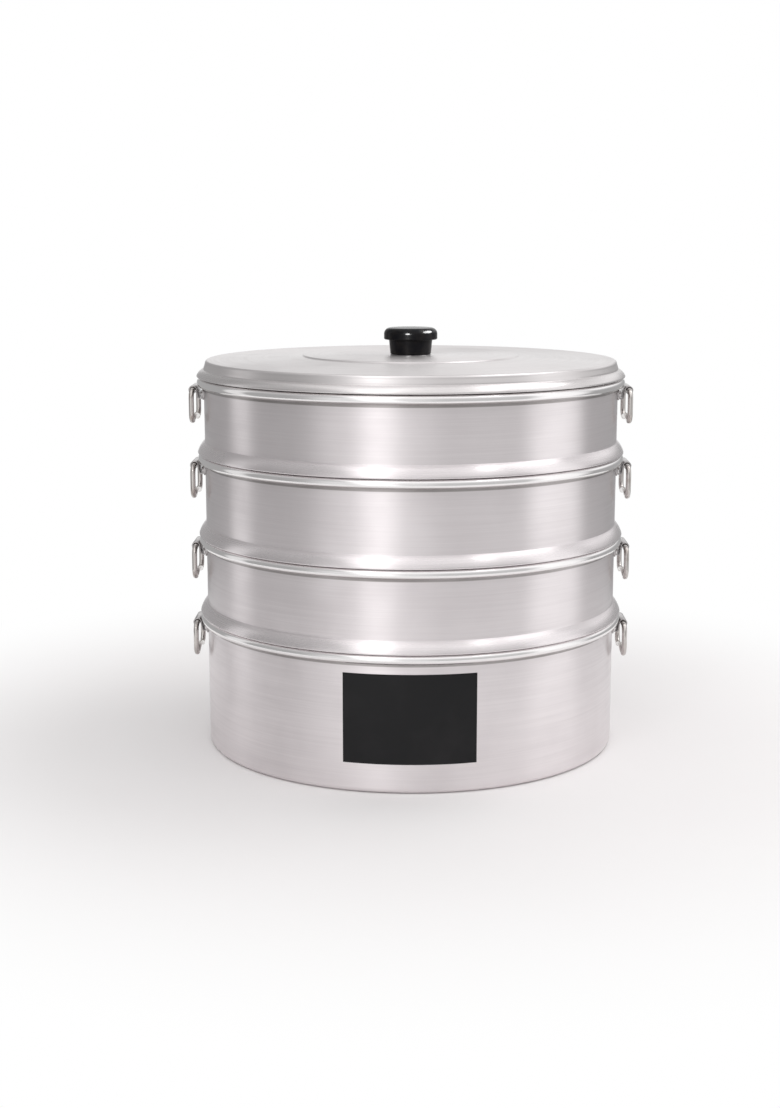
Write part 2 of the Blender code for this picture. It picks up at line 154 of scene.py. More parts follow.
class Board:
    """A node tree on which shaders are wired."""

    def __init__(self, tree: bpy.types.NodeTree) -> None:
        """Work on a tree.

        Args:
            tree: A material's or the world's node tree.
        """
        self.tree = tree

    def link(self, socket: bpy.types.NodeSocket, value: Any) -> None:
        """Feed an input with a signal or set its value.

        Args:
            socket: The input.
            value: A signal, or what the input's own value becomes.
        """
        if isinstance(value, Signal):
            self.tree.links.new(value.socket, socket)
        else:
            socket.default_value = value

    def add(self, kind: str, settings: dict[str, Any] | None = None,
            inputs: dict[str | int, Any] | None = None, output: str | int = 0) -> Signal:
        """Place a node.

        Args:
            kind: The node's type.
            settings: Its own settings, set before its sockets.
            inputs: Signals or values for its sockets, by name or number.
            output: The output to return.

        Returns:
            That output as a signal.
        """
        node = self.tree.nodes.new(kind)
        for name, value in (settings or {}).items():
            setattr(node, name, value)
        for key, value in (inputs or {}).items():
            self.link(node.inputs[key], value)
        return Signal(self, node.outputs[output])

    def math(self, operation: str, *values: Signal | float) -> Signal:
        """Calculate with one to three values.

        Args:
            operation: The Math node's operation.
            values: What it works on.

        Returns:
            The result.
        """
        return self.add("ShaderNodeMath", {"operation": operation}, dict(enumerate(values)))

    def vector(self, x: Signal | float, y: Signal | float, z: Signal | float) -> Signal:
        """A vector from its three parts."""
        return self.add("ShaderNodeCombineXYZ", inputs={0: x, 1: y, 2: z})

    def parts(self, vector: Signal) -> tuple[Signal, Signal, Signal]:
        """Split a vector.

        Args:
            vector: What to split.

        Returns:
            Its three parts.
        """
        first = self.add("ShaderNodeSeparateXYZ", inputs={0: vector})
        return first, *(Signal(self, first.socket.node.outputs[index]) for index in (1, 2))

    def place(self) -> Signal:
        """The point on the piece, in metres, which moves with the piece."""
        return self.add("ShaderNodeTexCoord", output="Object")

    def grain(self, vector: Signal, scale: float, detail: float = 2.0) -> Signal:
        """Soft noise from 0 to 1.

        Args:
            vector: Where to read it.
            scale: How many features it has to a unit.
            detail: How many finer layers it has.

        Returns:
            The noise's value.
        """
        return self.add("ShaderNodeTexNoise",
                        inputs={"Vector": vector, "Scale": scale, "Detail": detail})

    def step(self, value: Signal, low: float, high: float, top: float = 1.0) -> Signal:
        """A smooth step.

        Args:
            value: What decides.
            low: Where the step starts.
            high: Where it ends.
            top: The height that it reaches.

        Returns:
            A signal from 0 to top.
        """
        return self.add("ShaderNodeMapRange", {"interpolation_type": "SMOOTHSTEP"},
                        {"Value": value, "From Min": low, "From Max": high, "To Max": top})

    def mix(self, share: Signal | float, first: Any, second: Any) -> Signal:
        """Blend two colours.

        Args:
            share: How much of the second there is.
            first: A colour signal or a colour.
            second: A colour signal or a colour.

        Returns:
            The blended colour.
        """
        colours = [value if isinstance(value, Signal) else (*value, 1.0) for value in (first, second)]
        return self.add("ShaderNodeMix", {"data_type": "RGBA"},
                        {0: share, MIX_FIRST: colours[0], MIX_SECOND: colours[1]}, MIX_RESULT)

    def rays(self, *kinds: str) -> Signal:
        """Tell rays of some kinds from the others.

        Args:
            kinds: The kinds, as the Light Path node names them.

        Returns:
            1 for a ray of one of these kinds and 0 for any other.
        """
        shares = [self.add("ShaderNodeLightPath", output=f"Is {kind} Ray") for kind in kinds]
        return sum(shares[1:], shares[0])

    def bump(self, height: Signal, depth: float, below: Signal | None = None) -> Signal:
        """Raise a surface.

        Args:
            height: The relief, from 0 to 1.
            depth: The real height of the relief in metres.
            below: A normal that is already bumped.

        Returns:
            The normal.
        """
        inputs = {"Height": height, "Distance": depth, "Strength": 1.0}
        if below is not None:
            inputs["Normal"] = below
        return self.add("ShaderNodeBump", inputs=inputs)


# Finishes

@dataclass(frozen=True)
class Finish:
    """A finish: its own name, the record's slot, and the values that are the same all over."""

    name: str
    slot: str | None
    colour: Colour
    roughness: float
    metallic: float = 1.0

    def constants(self) -> dict[str, float]:
        """The shader's sockets that hold one value all over."""
        return {"Metallic": self.metallic}

    def surface(self, board: Board) -> dict[str, Signal]:
        """Wire what changes over the surface.

        Args:
            board: The material's board.

        Returns:
            The signals, by the shader's socket.
        """
        raise NotImplementedError


@cache
def material_of(finish: Finish) -> bpy.types.Material:
    """Make a finish's material once.

    Args:
        finish: What to make.

    Returns:
        The material, the same one each time.
    """
    material = bpy.data.materials.new(finish.name)
    material.use_nodes = True
    board = Board(material.node_tree)
    shader = material.node_tree.nodes["Principled BSDF"]
    for socket, value in finish.constants().items():
        shader.inputs[socket].default_value = value
    for socket, signal in finish.surface(board).items():
        board.link(shader.inputs[socket], signal)
    return material


@dataclass(frozen=True)
class SpunAluminium(Finish):
    """Satin sheet from the spinning lathe, with fine lines round the axis and a slightly uneven wall.

    What stands out beyond the wall is polished by handling, and the beads most of all; the beads'
    lighter colour is a painted highlight. A dark band in the crease under each bead is painted shade.
    """

    other_colour: Colour = (0.77, 0.725, 0.735)
    cloud_share: float = 0.40
    line_share: float = 0.30
    tint_edge: Span = (0.36, 0.64)
    stretch: float = 0.92
    quarter_turn: float = 0.25
    dull: float = 0.05
    dull_edge: Span = (0.45, 0.75)
    broad_sheen: float = 0.11
    fine_sheen: float = 0.10
    rim_polish: float = 0.07
    rim_edge: Span = (0.1753, 0.1772)
    rims: tuple[float, ...] = (0.1128, 0.1800, 0.2498, 0.3139)
    bead_edge: Span = (0.1725, 0.1729)
    bead_height: float = 0.0080
    bead_ease: float = 0.0003
    bead_polish: float = 0.15
    # The beads' lighter colour is a painted highlight
    bead_colour: Colour = (0.89, 0.87, 0.87)
    # Colour, band and strength of the painted shade in the crease under each bead
    grime: Colour = (0.26, 0.24, 0.23)
    grime_foot: float = 0.0098
    grime_top: float = 0.0066
    grime_ease: float = 0.0007
    grime_least: float = 0.45
    grime_spread: float = 0.5
    fine_pitch: float = 0.0007
    broad_pitch: float = 0.0026
    line_length: float = 0.090
    fine_depth: float = 0.0000035
    broad_depth: float = 0.0000120
    dent_size: float = 0.080
    dent_depth: float = 0.00045
    cloud_size: float = 0.045

    def constants(self) -> dict[str, float]:
        """Metal whose highlights stretch across the lines that the tool left."""
        return {"Metallic": self.metallic, "Anisotropic": self.stretch,
                "Anisotropic Rotation": self.quarter_turn}

    def lines(self, board: Board, place: Signal, pitch: float) -> Signal:
        """Lines that the tool left round the axis.

        Args:
            board: The material's board.
            place: The point on the piece.
            pitch: The distance from line to line.

        Returns:
            Their relief from 0 to 1.
        """
        x, y, z = board.parts(place)
        radius = board.math("SQRT", x * x + y * y)
        run = (radius - z) / pitch
        along = 1.0 / self.line_length
        return board.grain(board.vector(x * along, y * along, run), 1.0, 3.0)

    def near_rims(self, board: Board, z: Signal, foot: float, top: float, ease: float) -> Signal:
        """Where a height lies between two distances under one of the rims.

        Args:
            board: The material's board.
            z: The height on the stack.
            foot: The larger distance under the rim.
            top: The smaller distance.
            ease: How far the mask fades beyond both.

        Returns:
            A mask from 0 to 1.
        """
        bands = []
        for rim in self.rims:
            above = board.step(z, rim - foot - ease, rim - foot)
            bands.append(above * (1.0 - board.step(z, rim - top, rim - top + ease)))
        return sum(bands[1:], bands[0])

    def surface(self, board: Board) -> dict[str, Signal]:
        """Wire tint, sheen and relief.

        Args:
            board: The material's board.

        Returns:
            Colour, roughness and normal.
        """
        place = board.place()
        x, y, z = board.parts(place)
        radius = board.math("SQRT", x * x + y * y)
        fine = self.lines(board, place, self.fine_pitch)
        broad = self.lines(board, place, self.broad_pitch)
        cloud = board.grain(place, 1.0 / self.cloud_size, 3.0)
        dents = board.grain(place, 1.0 / self.dent_size, 1.0)
        mottle = cloud * self.cloud_share + broad * self.line_share + fine * self.line_share
        tint = board.step(mottle, *self.tint_edge)
        dull = board.step(cloud, *self.dull_edge, self.dull)
        rough = dull + (broad - 0.5) * self.broad_sheen + (fine - 0.5) * self.fine_sheen + self.roughness
        bead = self.near_rims(board, z, self.bead_height, 0.0, self.bead_ease)
        bead = bead * board.step(radius, *self.bead_edge)
        rough = rough - board.step(radius, *self.rim_edge, self.rim_polish)
        rough = rough - bead * self.bead_polish
        # Darken a band in the crease under each bead, stronger in some places than others: painted shade
        crease_shade_mask = self.near_rims(board, z, self.grime_foot, self.grime_top, self.grime_ease)
        crease_shade_mask = crease_shade_mask * (self.grime_least + self.grime_spread * cloud)
        # The beads take a lighter colour than the sheet: painted highlight
        colour = board.mix(bead, board.mix(tint, self.colour, self.other_colour), self.bead_colour)
        normal = board.bump(dents, self.dent_depth)
        normal = board.bump(broad, self.broad_depth, normal)
        normal = board.bump(fine, self.fine_depth, normal)
        return {"Base Color": board.mix(crease_shade_mask, colour, self.grime),
                "Roughness": rough, "Normal": normal}


@dataclass(frozen=True)
class PressedAluminium(Finish):
    """Aluminium cut and bent in a press, with handling marks."""

    mark_size: float = 0.0035
    mark_depth: float = 0.000020
    mark_sheen: float = 0.16
    scratch_pitch: float = 0.0004
    scratch_length: float = 0.012
    scratch_depth: float = 0.000005
    scratch_edge: Span = (0.60, 0.72)
    scratch_sheen: float = 0.08
    worn: float = 0.80
    worn_edge: Span = (0.35, 0.70)

    def surface(self, board: Board) -> dict[str, Signal]:
        """Wire marks and short scratches.

        Args:
            board: The material's board.

        Returns:
            Colour, roughness and normal.
        """
        place = board.place()
        x, y, z = board.parts(place)
        marks = board.grain(place, 1.0 / self.mark_size, 3.0)
        slanted = board.vector((x + y) / self.scratch_length, z / self.scratch_pitch,
                               (x - y) / self.scratch_pitch)
        scratches = board.step(board.grain(slanted, 1.0, 1.0), *self.scratch_edge)
        worn = tuple(self.worn * part for part in self.colour)
        least = self.roughness - self.mark_sheen / 2.0
        normal = board.bump(marks, self.mark_depth)
        return {"Base Color": board.mix(board.step(marks, *self.worn_edge), self.colour, worn),
                "Roughness": marks * self.mark_sheen + scratches * self.scratch_sheen + least,
                "Normal": board.bump(scratches, self.scratch_depth, normal)}


@dataclass(frozen=True)
class PlatedWire(Finish):
    """Bright plated steel wire, with faint tarnish and small specks."""

    tarnish: Colour = (0.38, 0.33, 0.30)
    tarnish_share: float = 0.7
    tarnish_edge: Span = (0.50, 0.72)
    tarnish_sheen: float = 0.14
    clouds_to_metre: float = 87.5
    specks_to_metre: float = 1000.0
    speck_depth: float = 0.000006
    speck_edge: Span = (0.62, 0.75)
    speck_sheen: float = 0.12

    def surface(self, board: Board) -> dict[str, Signal]:
        """Wire tarnish and specks.

        Args:
            board: The material's board.

        Returns:
            Colour, roughness and normal.
        """
        place = board.place()
        cloud = board.grain(place, self.clouds_to_metre, 3.0)
        specks = board.grain(place, self.specks_to_metre, 2.0)
        old = board.step(cloud, *self.tarnish_edge, self.tarnish_share)
        rough = board.step(specks, *self.speck_edge, self.speck_sheen)
        return {"Base Color": board.mix(old, self.colour, self.tarnish),
                "Roughness": old * self.tarnish_sheen + rough + self.roughness,
                "Normal": board.bump(specks, self.speck_depth)}


@dataclass(frozen=True)
class MouldedBlack(Finish):
    """Glossy black moulding, with flow marks under the polish and fine rubbed scratches."""

    flow: Colour = (0.002, 0.0017, 0.0017)
    flow_size: float = 0.006
    flow_edge: Span = (0.40, 0.65)
    flow_sheen: float = 0.04
    ripple_depth: float = 0.000030
    scratch_pitch: float = 0.0003
    scratch_edge: Span = (0.55, 0.75)
    scratch_sheen: float = 0.06
    specular: float = 0.06
    coat: float = 0.15
    coat_roughness: float = 0.15

    def constants(self) -> dict[str, float]:
        """A plastic body under a clear polish."""
        return {"Metallic": self.metallic, "Specular IOR Level": self.specular,
                "Coat Weight": self.coat, "Coat Roughness": self.coat_roughness}

    def surface(self, board: Board) -> dict[str, Signal]:
        """Wire flow marks, ripple and rubbing.

        Args:
            board: The material's board.

        Returns:
            Colour, roughness and normal.
        """
        place = board.place()
        x, y, z = board.parts(place)
        flow = board.grain(place, 1.0 / self.flow_size, 4.0)
        around = board.vector(x / self.flow_size, y / self.flow_size, z / self.scratch_pitch)
        rubbed = board.step(board.grain(around, 1.0, 2.0), *self.scratch_edge)
        return {"Base Color": board.mix(board.step(flow, *self.flow_edge), self.colour, self.flow),
                "Roughness": rubbed * self.scratch_sheen + flow * self.flow_sheen + self.roughness,
                "Normal": board.bump(flow, self.ripple_depth)}


@dataclass(frozen=True)
class TurnedBar(Finish):
    """Small turned metal, such as an insert, a washer or a screw."""

    stain: Colour = (0.4, 0.4, 0.4)
    line_pitch: float = 0.00025
    line_depth: float = 0.000006
    line_sheen: float = 0.08
    lines_to_metre: float = 60.0
    stain_size: float = 0.003
    stain_edge: Span = (0.45, 0.75)
    stain_sheen: float = 0.15

    def surface(self, board: Board) -> dict[str, Signal]:
        """Wire turning lines and stains.

        Args:
            board: The material's board.

        Returns:
            Colour, roughness and normal.
        """
        place = board.place()
        x, y, z = board.parts(place)
        radius = board.math("SQRT", x * x + y * y)
        along = self.lines_to_metre
        lines = board.grain(board.vector(x * along, y * along, (radius + z) / self.line_pitch), 1.0)
        stains = board.grain(place, 1.0 / self.stain_size, 3.0)
        least = self.roughness - self.line_sheen
        return {"Base Color": board.mix(board.step(stains, *self.stain_edge), self.colour, self.stain),
                "Roughness": stains * self.stain_sheen + lines * self.line_sheen + least,
                "Normal": board.bump(lines, self.line_depth)}


@dataclass(frozen=True)
class PrintFilm(Finish):
    """Thin black film stuck on the wall, with soft creases and a little dust."""

    dust: Colour = (0.016, 0.015, 0.016)
    dust_size: float = 0.044
    dust_edge: Span = (0.45, 0.75)
    dust_share: float = 0.6
    dust_sheen: float = 0.20
    crease_size: float = 0.022
    crease_depth: float = 0.00030
    grain_size: float = 0.0008
    grain_sheen: float = 0.06
    specular: float = 0.25

    def constants(self) -> dict[str, float]:
        """A film that mirrors little."""
        return {"Metallic": self.metallic, "Specular IOR Level": self.specular}

    def surface(self, board: Board) -> dict[str, Signal]:
        """Wire dust, sheen and creases.

        Args:
            board: The material's board.

        Returns:
            Colour, roughness and normal.
        """
        place = board.place()
        creases = board.grain(place, 1.0 / self.crease_size, 2.0)
        fine = board.grain(place, 1.0 / self.grain_size, 1.0)
        cloud = board.grain(place, 1.0 / self.dust_size, 4.0)
        dusty = board.step(cloud, *self.dust_edge, self.dust_share)
        return {"Base Color": board.mix(dusty, self.colour, self.dust),
                "Roughness": cloud * self.dust_sheen + fine * self.grain_sheen + self.roughness,
                "Normal": board.bump(creases, self.crease_depth)}


POT_METAL = SpunAluminium("pot_spun_metal", "pot_aluminium", (0.85, 0.805, 0.815), 0.34,
                          other_colour=(0.80, 0.755, 0.765))
TRAY_METAL = SpunAluminium("tray_spun_metal", "tray_aluminium", (0.82, 0.775, 0.785), 0.33)
LID_METAL = SpunAluminium("lid_spun_metal", "lid_aluminium", (0.74, 0.71, 0.71), 0.34,
                          other_colour=(0.70, 0.67, 0.67), stretch=0.65)
LUG_METAL = PressedAluminium("lug_pressed_metal", "lug_aluminium", (0.48, 0.46, 0.46), 0.24)
RIVET_METAL = PressedAluminium("rivet_pressed_metal", "rivet_aluminium", (0.74, 0.71, 0.71), 0.28)
RING_METAL = PlatedWire("ring_plated_metal", "ring_plated_steel", (0.57, 0.54, 0.52), 0.12)
KNOB_BLACK = MouldedBlack("knob_moulded_black", "knob_bakelite", (0.0008, 0.0008, 0.0011), 0.18, 0.0)
INSERT_BRASS = TurnedBar("insert_turned_brass", "insert_brass", (0.76, 0.58, 0.28), 0.28,
                         stain=(0.42, 0.27, 0.12))
WASHER_ZINC = TurnedBar("washer_turned_zinc", "washer_steel", (0.62, 0.62, 0.63), 0.36,
                        stain=(0.44, 0.43, 0.42))
SCREW_STEEL = TurnedBar("screw_turned_steel", "screw_steel", (0.64, 0.64, 0.65), 0.28,
                        stain=(0.40, 0.38, 0.36))
LABEL_FILM = PrintFilm("label_black_film", None, (0.006, 0.006, 0.007), 0.30, 0.0)


# Outlines in a plane

def arc(centre: Point, radius: float, start: float, end: float, steps: int) -> list[Point]:
    """Points on an arc.

    Args:
        centre: The arc's centre.
        radius: Its radius.
        start: The first point's angle in degrees.
        end: The last point's angle in degrees.
        steps: The number of stretches.

    Returns:
        The points, both ends among them.
    """
    points = []
    for step in range(steps + 1):
        angle = math.radians(start + (end - start) * step / steps)
        points.append((centre[0] + radius * math.cos(angle), centre[1] + radius * math.sin(angle)))
    return points


def bowed(start: Point, end: Point, bulge: float, steps: int) -> list[Point]:
    """Points on a line that bows to its left.

    Args:
        start: The first point.
        end: The last point.
        bulge: How far its middle bows out.
        steps: The number of stretches.

    Returns:
        The points, both ends among them.
    """
    run = Vector(end) - Vector(start)
    across = Vector((-run.y, run.x)).normalized()
    points = []
    for step in range(steps + 1):
        share = step / steps
        spot = Vector(start) + run * share + across * (4.0 * bulge * share * (1.0 - share))
        points.append((spot.x, spot.y))
    return points


def rounded(corners: list[tuple[float, float, float]]) -> list[Point]:
    """Ease the corners of an open outline.

    Args:
        corners: Each corner's place and the radius of its arc, 0 for a point that stays.

    Returns:
        The outline's points.
    """
    points = []
    for index, (x, y, radius) in enumerate(corners):
        if radius == 0.0:
            points.append((x, y))
            continue
        corner = Vector((x, y))
        back = (Vector(corners[index - 1][:2]) - corner).normalized()
        ahead = (Vector(corners[index + 1][:2]) - corner).normalized()
        half = back.angle(ahead) / 2.0
        centre = corner + (back + ahead).normalized() * (radius / math.sin(half))
        start = corner + back * (radius / math.tan(half)) - centre
        end = corner + ahead * (radius / math.tan(half)) - centre
        first = math.degrees(math.atan2(start.y, start.x))
        turn = math.degrees(math.atan2(end.y, end.x)) - first
        turn -= 360.0 * round(turn / 360.0)
        points += arc((centre.x, centre.y), radius, first, first + turn, EASE_STEPS)
    return points


def held(points: list[Point], reach: float) -> list[Point]:
    """Add a point near each end of every long stretch, so that smooth shading stays in the bends.

    Args:
        points: An open outline.
        reach: How far from the bends the points lie.

    Returns:
        The outline with the added points.
    """
    outline = [points[0]]
    for start, end in zip(points, points[1:]):
        run = Vector(end) - Vector(start)
        if run.length > 4.0 * reach:
            for distance in (reach, run.length - reach):
                spot = Vector(start) + run.normalized() * distance
                outline.append((spot.x, spot.y))
        outline.append(end)
    return outline


def dome(radius: float, height: float, base: float, steps: int) -> list[Point]:
    """The outline of a shallow round head.

    Args:
        radius: The head's radius.
        height: Its height.
        base: The height of its edge.
        steps: The number of stretches.

    Returns:
        Points from the crown to the edge.
    """
    sphere = (radius ** 2 + height ** 2) / (2.0 * height)
    spread = math.degrees(math.asin(radius / sphere))
    return arc((0.0, base + height - sphere), sphere, 90.0, 90.0 - spread, steps)


def round_section(radius: float, sides: int) -> list[Point]:
    """The outline of a wire's section."""
    return arc((0.0, 0.0), radius, 0.0, 360.0, sides)[:-1]


def strip_section(width: float, thickness: float, corner: float, steps: int) -> list[Point]:
    """The outline of a strip's section.

    Args:
        width: Its width.
        thickness: Its thickness.
        corner: The radius of its corners.
        steps: The number of stretches of a corner.

    Returns:
        The closed outline.
    """
    across = width / 2.0 - corner
    deep = thickness / 2.0 - corner
    points = arc((deep, across), corner, 0.0, 90.0, steps)
    points += arc((-deep, across), corner, 90.0, 180.0, steps)
    points += arc((-deep, -across), corner, 180.0, 270.0, steps)
    points += arc((deep, -across), corner, 270.0, 360.0, steps)
    return points


# Meshes

def finished(shape: bmesh.types.BMesh, name: str) -> bpy.types.Mesh:
    """Turn a worked shape into a smooth mesh with its faces pointing out.

    Args:
        shape: The shape, which is freed.
        name: The mesh's name.

    Returns:
        The mesh.
    """
    bmesh.ops.remove_doubles(shape, verts=shape.verts, dist=WELD)
    bmesh.ops.recalc_face_normals(shape, faces=shape.faces)
    mesh = bpy.data.meshes.new(name)
    shape.to_mesh(mesh)
    shape.free()
    mesh.shade_smooth()
    mesh.set_sharp_from_angle(angle=math.radians(SHARP_ANGLE))
    return mesh


def skin(rings: list[list[Vector]], closed: bool) -> bmesh.types.BMesh:
    """Stretch faces over rings of points.

    Args:
        rings: Rings with the same number of points each.
        closed: Whether the last ring joins the first. Otherwise both ends are closed by a flat face.

    Returns:
        The shape.
    """
    shape = bmesh.new()
    loops = [[shape.verts.new(point) for point in ring] for ring in rings]
    pairs = list(zip(loops, loops[1:]))
    if closed:
        pairs.append((loops[-1], loops[0]))
    for first, second in pairs:
        for index in range(len(first)):
            following = (index + 1) % len(first)
            shape.faces.new((first[index], first[following], second[following], second[index]))
    if not closed:
        shape.faces.new(loops[0])
        shape.faces.new(loops[-1])
    return shape


def turned(profile: list[Point], steps: int, closed: bool = False) -> bmesh.types.BMesh:
    """Turn a profile about the vertical axis.

    Args:
        profile: Points of radius and height.
        steps: The number of stretches round the axis.
        closed: Whether the profile is a loop. Otherwise its ends are closed by flat faces.

    Returns:
        The shape.
    """
    rings = []
    for radius, height in profile:
        ring = []
        for step in range(steps):
            angle = 2.0 * math.pi * step / steps
            ring.append(Vector((radius * math.cos(angle), radius * math.sin(angle), height)))
        rings.append(ring)
    return skin(rings, closed)


def swept(line: list[Point], section: list[Point], closed: bool) -> bmesh.types.BMesh:
    """Draw a section along a line in the XZ plane, with the section's second part along Y.

    Args:
        line: The line that the section's middle follows.
        section: The section's closed outline.
        closed: Whether the line is a loop.

    Returns:
        The shape.
    """
    rings = []
    count = len(line)
    for index, spot in enumerate(line):
        before = line[index - 1] if closed or index else spot
        after = line[(index + 1) % count] if closed or index + 1 < count else spot
        ahead = (Vector(after) - Vector(before)).normalized()
        across = Vector((-ahead.y, ahead.x))
        ring = []
        for deep, along in section:
            ring.append(Vector((spot[0] + across.x * deep, along, spot[1] + across.y * deep)))
        rings.append(ring)
    return skin(rings, closed)


def moved(mesh: bpy.types.Mesh, place: Matrix, name: str) -> bpy.types.Mesh:
    """A copy of a mesh in another place.

    Args:
        mesh: What to copy.
        place: Where it goes.
        name: The copy's name.

    Returns:
        The copy.
    """
    copy = mesh.copy()
    copy.name = name
    copy.transform(place)
    return copy


def worked(mesh: bpy.types.Mesh, steps: list[tuple[str, bpy.types.Mesh]]) -> bpy.types.Mesh:
    """Join other meshes to a mesh or cut them out of it.

    Args:
        mesh: The mesh to work on.
        steps: Each step's operation and the mesh that it uses.

    Returns:
        The new mesh.
    """
    scene = bpy.context.scene.collection
    blank = bpy.data.objects.new("blank", mesh)
    tools = [bpy.data.objects.new("tool", tool) for _, tool in steps]
    for obj in [blank, *tools]:
        scene.objects.link(obj)
    for (operation, _), tool in zip(steps, tools):
        modifier = blank.modifiers.new("work", "BOOLEAN")
        modifier.operation = operation
        modifier.solver = "EXACT"
        modifier.object = tool
    bpy.context.view_layer.update()
    graph = bpy.context.evaluated_depsgraph_get()
    result = bpy.data.meshes.new_from_object(blank.evaluated_get(graph))
    for obj in [blank, *tools]:
        bpy.data.objects.remove(obj, do_unlink=True)
    shape = bmesh.new()
    shape.from_mesh(result)
    return finished(shape, mesh.name)


def round_bars(places: list[Matrix], radius: float, length: float, sides: int,
               name: str) -> bpy.types.Mesh:
    """Round bars as one mesh, for cutting holes.

    Args:
        places: Where each bar's middle lies, with its axis along Z.
        radius: The bars' radius.
        length: Their length.
        sides: The number of their sides.
        name: The mesh's name.

    Returns:
        The mesh.
    """
    shape = bmesh.new()
    for place in places:
        bmesh.ops.create_cone(shape, cap_ends=True, segments=sides, radius1=radius, radius2=radius,
                              depth=length, matrix=place)
    mesh = bpy.data.meshes.new(name)
    shape.to_mesh(mesh)
    shape.free()
    return mesh


# Pieces on the frame

@dataclass
class Bench:
    """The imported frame, onto which finished pieces are fitted."""

    frame: dict[str, Any]

    def body_of(self, node: str) -> str:
        """The body that carries a node.

        Args:
            node: The node's name.

        Returns:
            The body's name.
        """
        bodies = self.frame["record"]["behaviour"]["bodies"]
        return next(body for body, nodes in bodies.items() if node in nodes)

    def fit(self, mesh: bpy.types.Mesh, finish: Finish, node: str,
            name: str | None = None) -> bpy.types.Object:
        """Put a piece on the body of a node.

        Args:
            mesh: The piece's mesh, in its place at rest.
            finish: Its finish.
            node: The node that the piece replaces, or that carries it where it has a name.
            name: The name of a piece that replaces nothing.

        Returns:
            The piece.
        """
        mesh.materials.clear()
        mesh.materials.append(material_of(finish))
        piece = bpy.data.objects.new(name or f"{node}_dressed", mesh)
        bpy.context.scene.collection.objects.link(piece)
        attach(piece, self.body_of(node))
        if name is None:
            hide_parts(node)
        LOG.info("%s: %d faces, %s", piece.name, len(mesh.polygons), finish.name)
        return piece


# Spun vessels

@dataclass
class Spinning:
    """The sizes that all spun pieces share, and the forms that they repeat."""

    wall: float = 0.1750
    sheet: float = 0.0020
    bead: float = 0.0040
    seat_gap: float = 0.0003
    skirt_bulge: float = 0.0008
    lip: float = 0.0010
    crease: float = 0.0005
    bend: float = 0.0006
    spigot_clearance: float = 0.0008
    spigot_corner: float = 0.0035
    support: float = 0.0007
    turn_steps: int = 192
    bead_steps: int = 24
    skirt_steps: int = 10
    corner_steps: int = 8
    hole_sides: int = 12

    @property
    def inner(self) -> float:
        """The radius of a wall's inner face."""
        return self.wall - self.sheet

    @property
    def spigot(self) -> float:
        """The radius of a spigot's outer face."""
        return self.inner - self.spigot_clearance

    @property
    def bead_centre(self) -> float:
        """The radius on which the bead's middle lies."""
        return self.inner + self.bead

    @property
    def skirt(self) -> float:
        """The radius of a skirt's lip."""
        return self.bead_centre + self.bead

    def rolled_rim(self, rim: float) -> list[Point]:
        """The bead, from the wall's inner face over the top to its outer face.

        Args:
            rim: The height of its top.

        Returns:
            Its points.
        """
        under = math.degrees(math.acos((self.wall - self.bead_centre) / self.bead))
        return arc((self.bead_centre, rim - self.bead), self.bead, 180.0, -under, self.bead_steps)

    def foot_outside(self, rim: float, rise: float) -> list[Point]:
        """The skirt, from the crease down to its lip, and the seat back to the spigot.

        Args:
            rim: The height of the bead that it rests on.
            rise: How far above that the crease lies.

        Returns:
            Its points.
        """
        seat = rim + self.seat_gap
        bow = bowed((self.wall, rim + rise), (self.skirt, seat + self.lip), self.skirt_bulge,
                    self.skirt_steps)
        corners = [(self.wall, rim + rise + 2.0 * self.crease, 0.0), (*bow[0], self.crease)]
        eased = rounded(corners + [(*bow[1], 0.0)])
        lip = arc((self.skirt - self.lip, seat + self.lip), self.lip, 0.0, -90.0, self.corner_steps)
        return eased + bow[2:-1] + lip + [(self.spigot + self.bend, seat)]

    def foot_inside(self, rim: float, rise: float) -> list[Point]:
        """The inner face of the seat and the skirt, one sheet inside the outer face.

        Args:
            rim: The height of the bead that it rests on.
            rise: How far above that the crease lies.

        Returns:
            Its points, from the spigot up to the wall.
        """
        seat = rim + self.seat_gap
        slope = (self.skirt - self.wall) / (rim + rise - seat - self.lip)
        across = self.sheet * math.hypot(1.0, slope)
        fold = self.skirt - slope * (self.sheet - self.lip) - across
        crease = rim + rise - (across - self.sheet) / slope
        return rounded([(self.spigot - self.sheet, seat + self.sheet - 2.0 * self.bend, 0.0),
                        (self.spigot - self.sheet, seat + self.sheet, self.bend),
                        (fold, seat + self.sheet, self.bend),
                        (self.inner, crease, self.bend),
                        (self.inner, crease + 2.0 * self.bend, 0.0)])

    def spun(self, profile: list[Point], name: str, closed: bool = False) -> bpy.types.Mesh:
        """Turn a profile at full fineness.

        Args:
            profile: Points of radius and height.
            name: The mesh's name.
            closed: Whether the profile is a loop.

        Returns:
            The mesh.
        """
        line = held(profile + profile[:1], self.support)[:-1] if closed else held(profile, self.support)
        return finished(turned(line, self.turn_steps, closed), name)


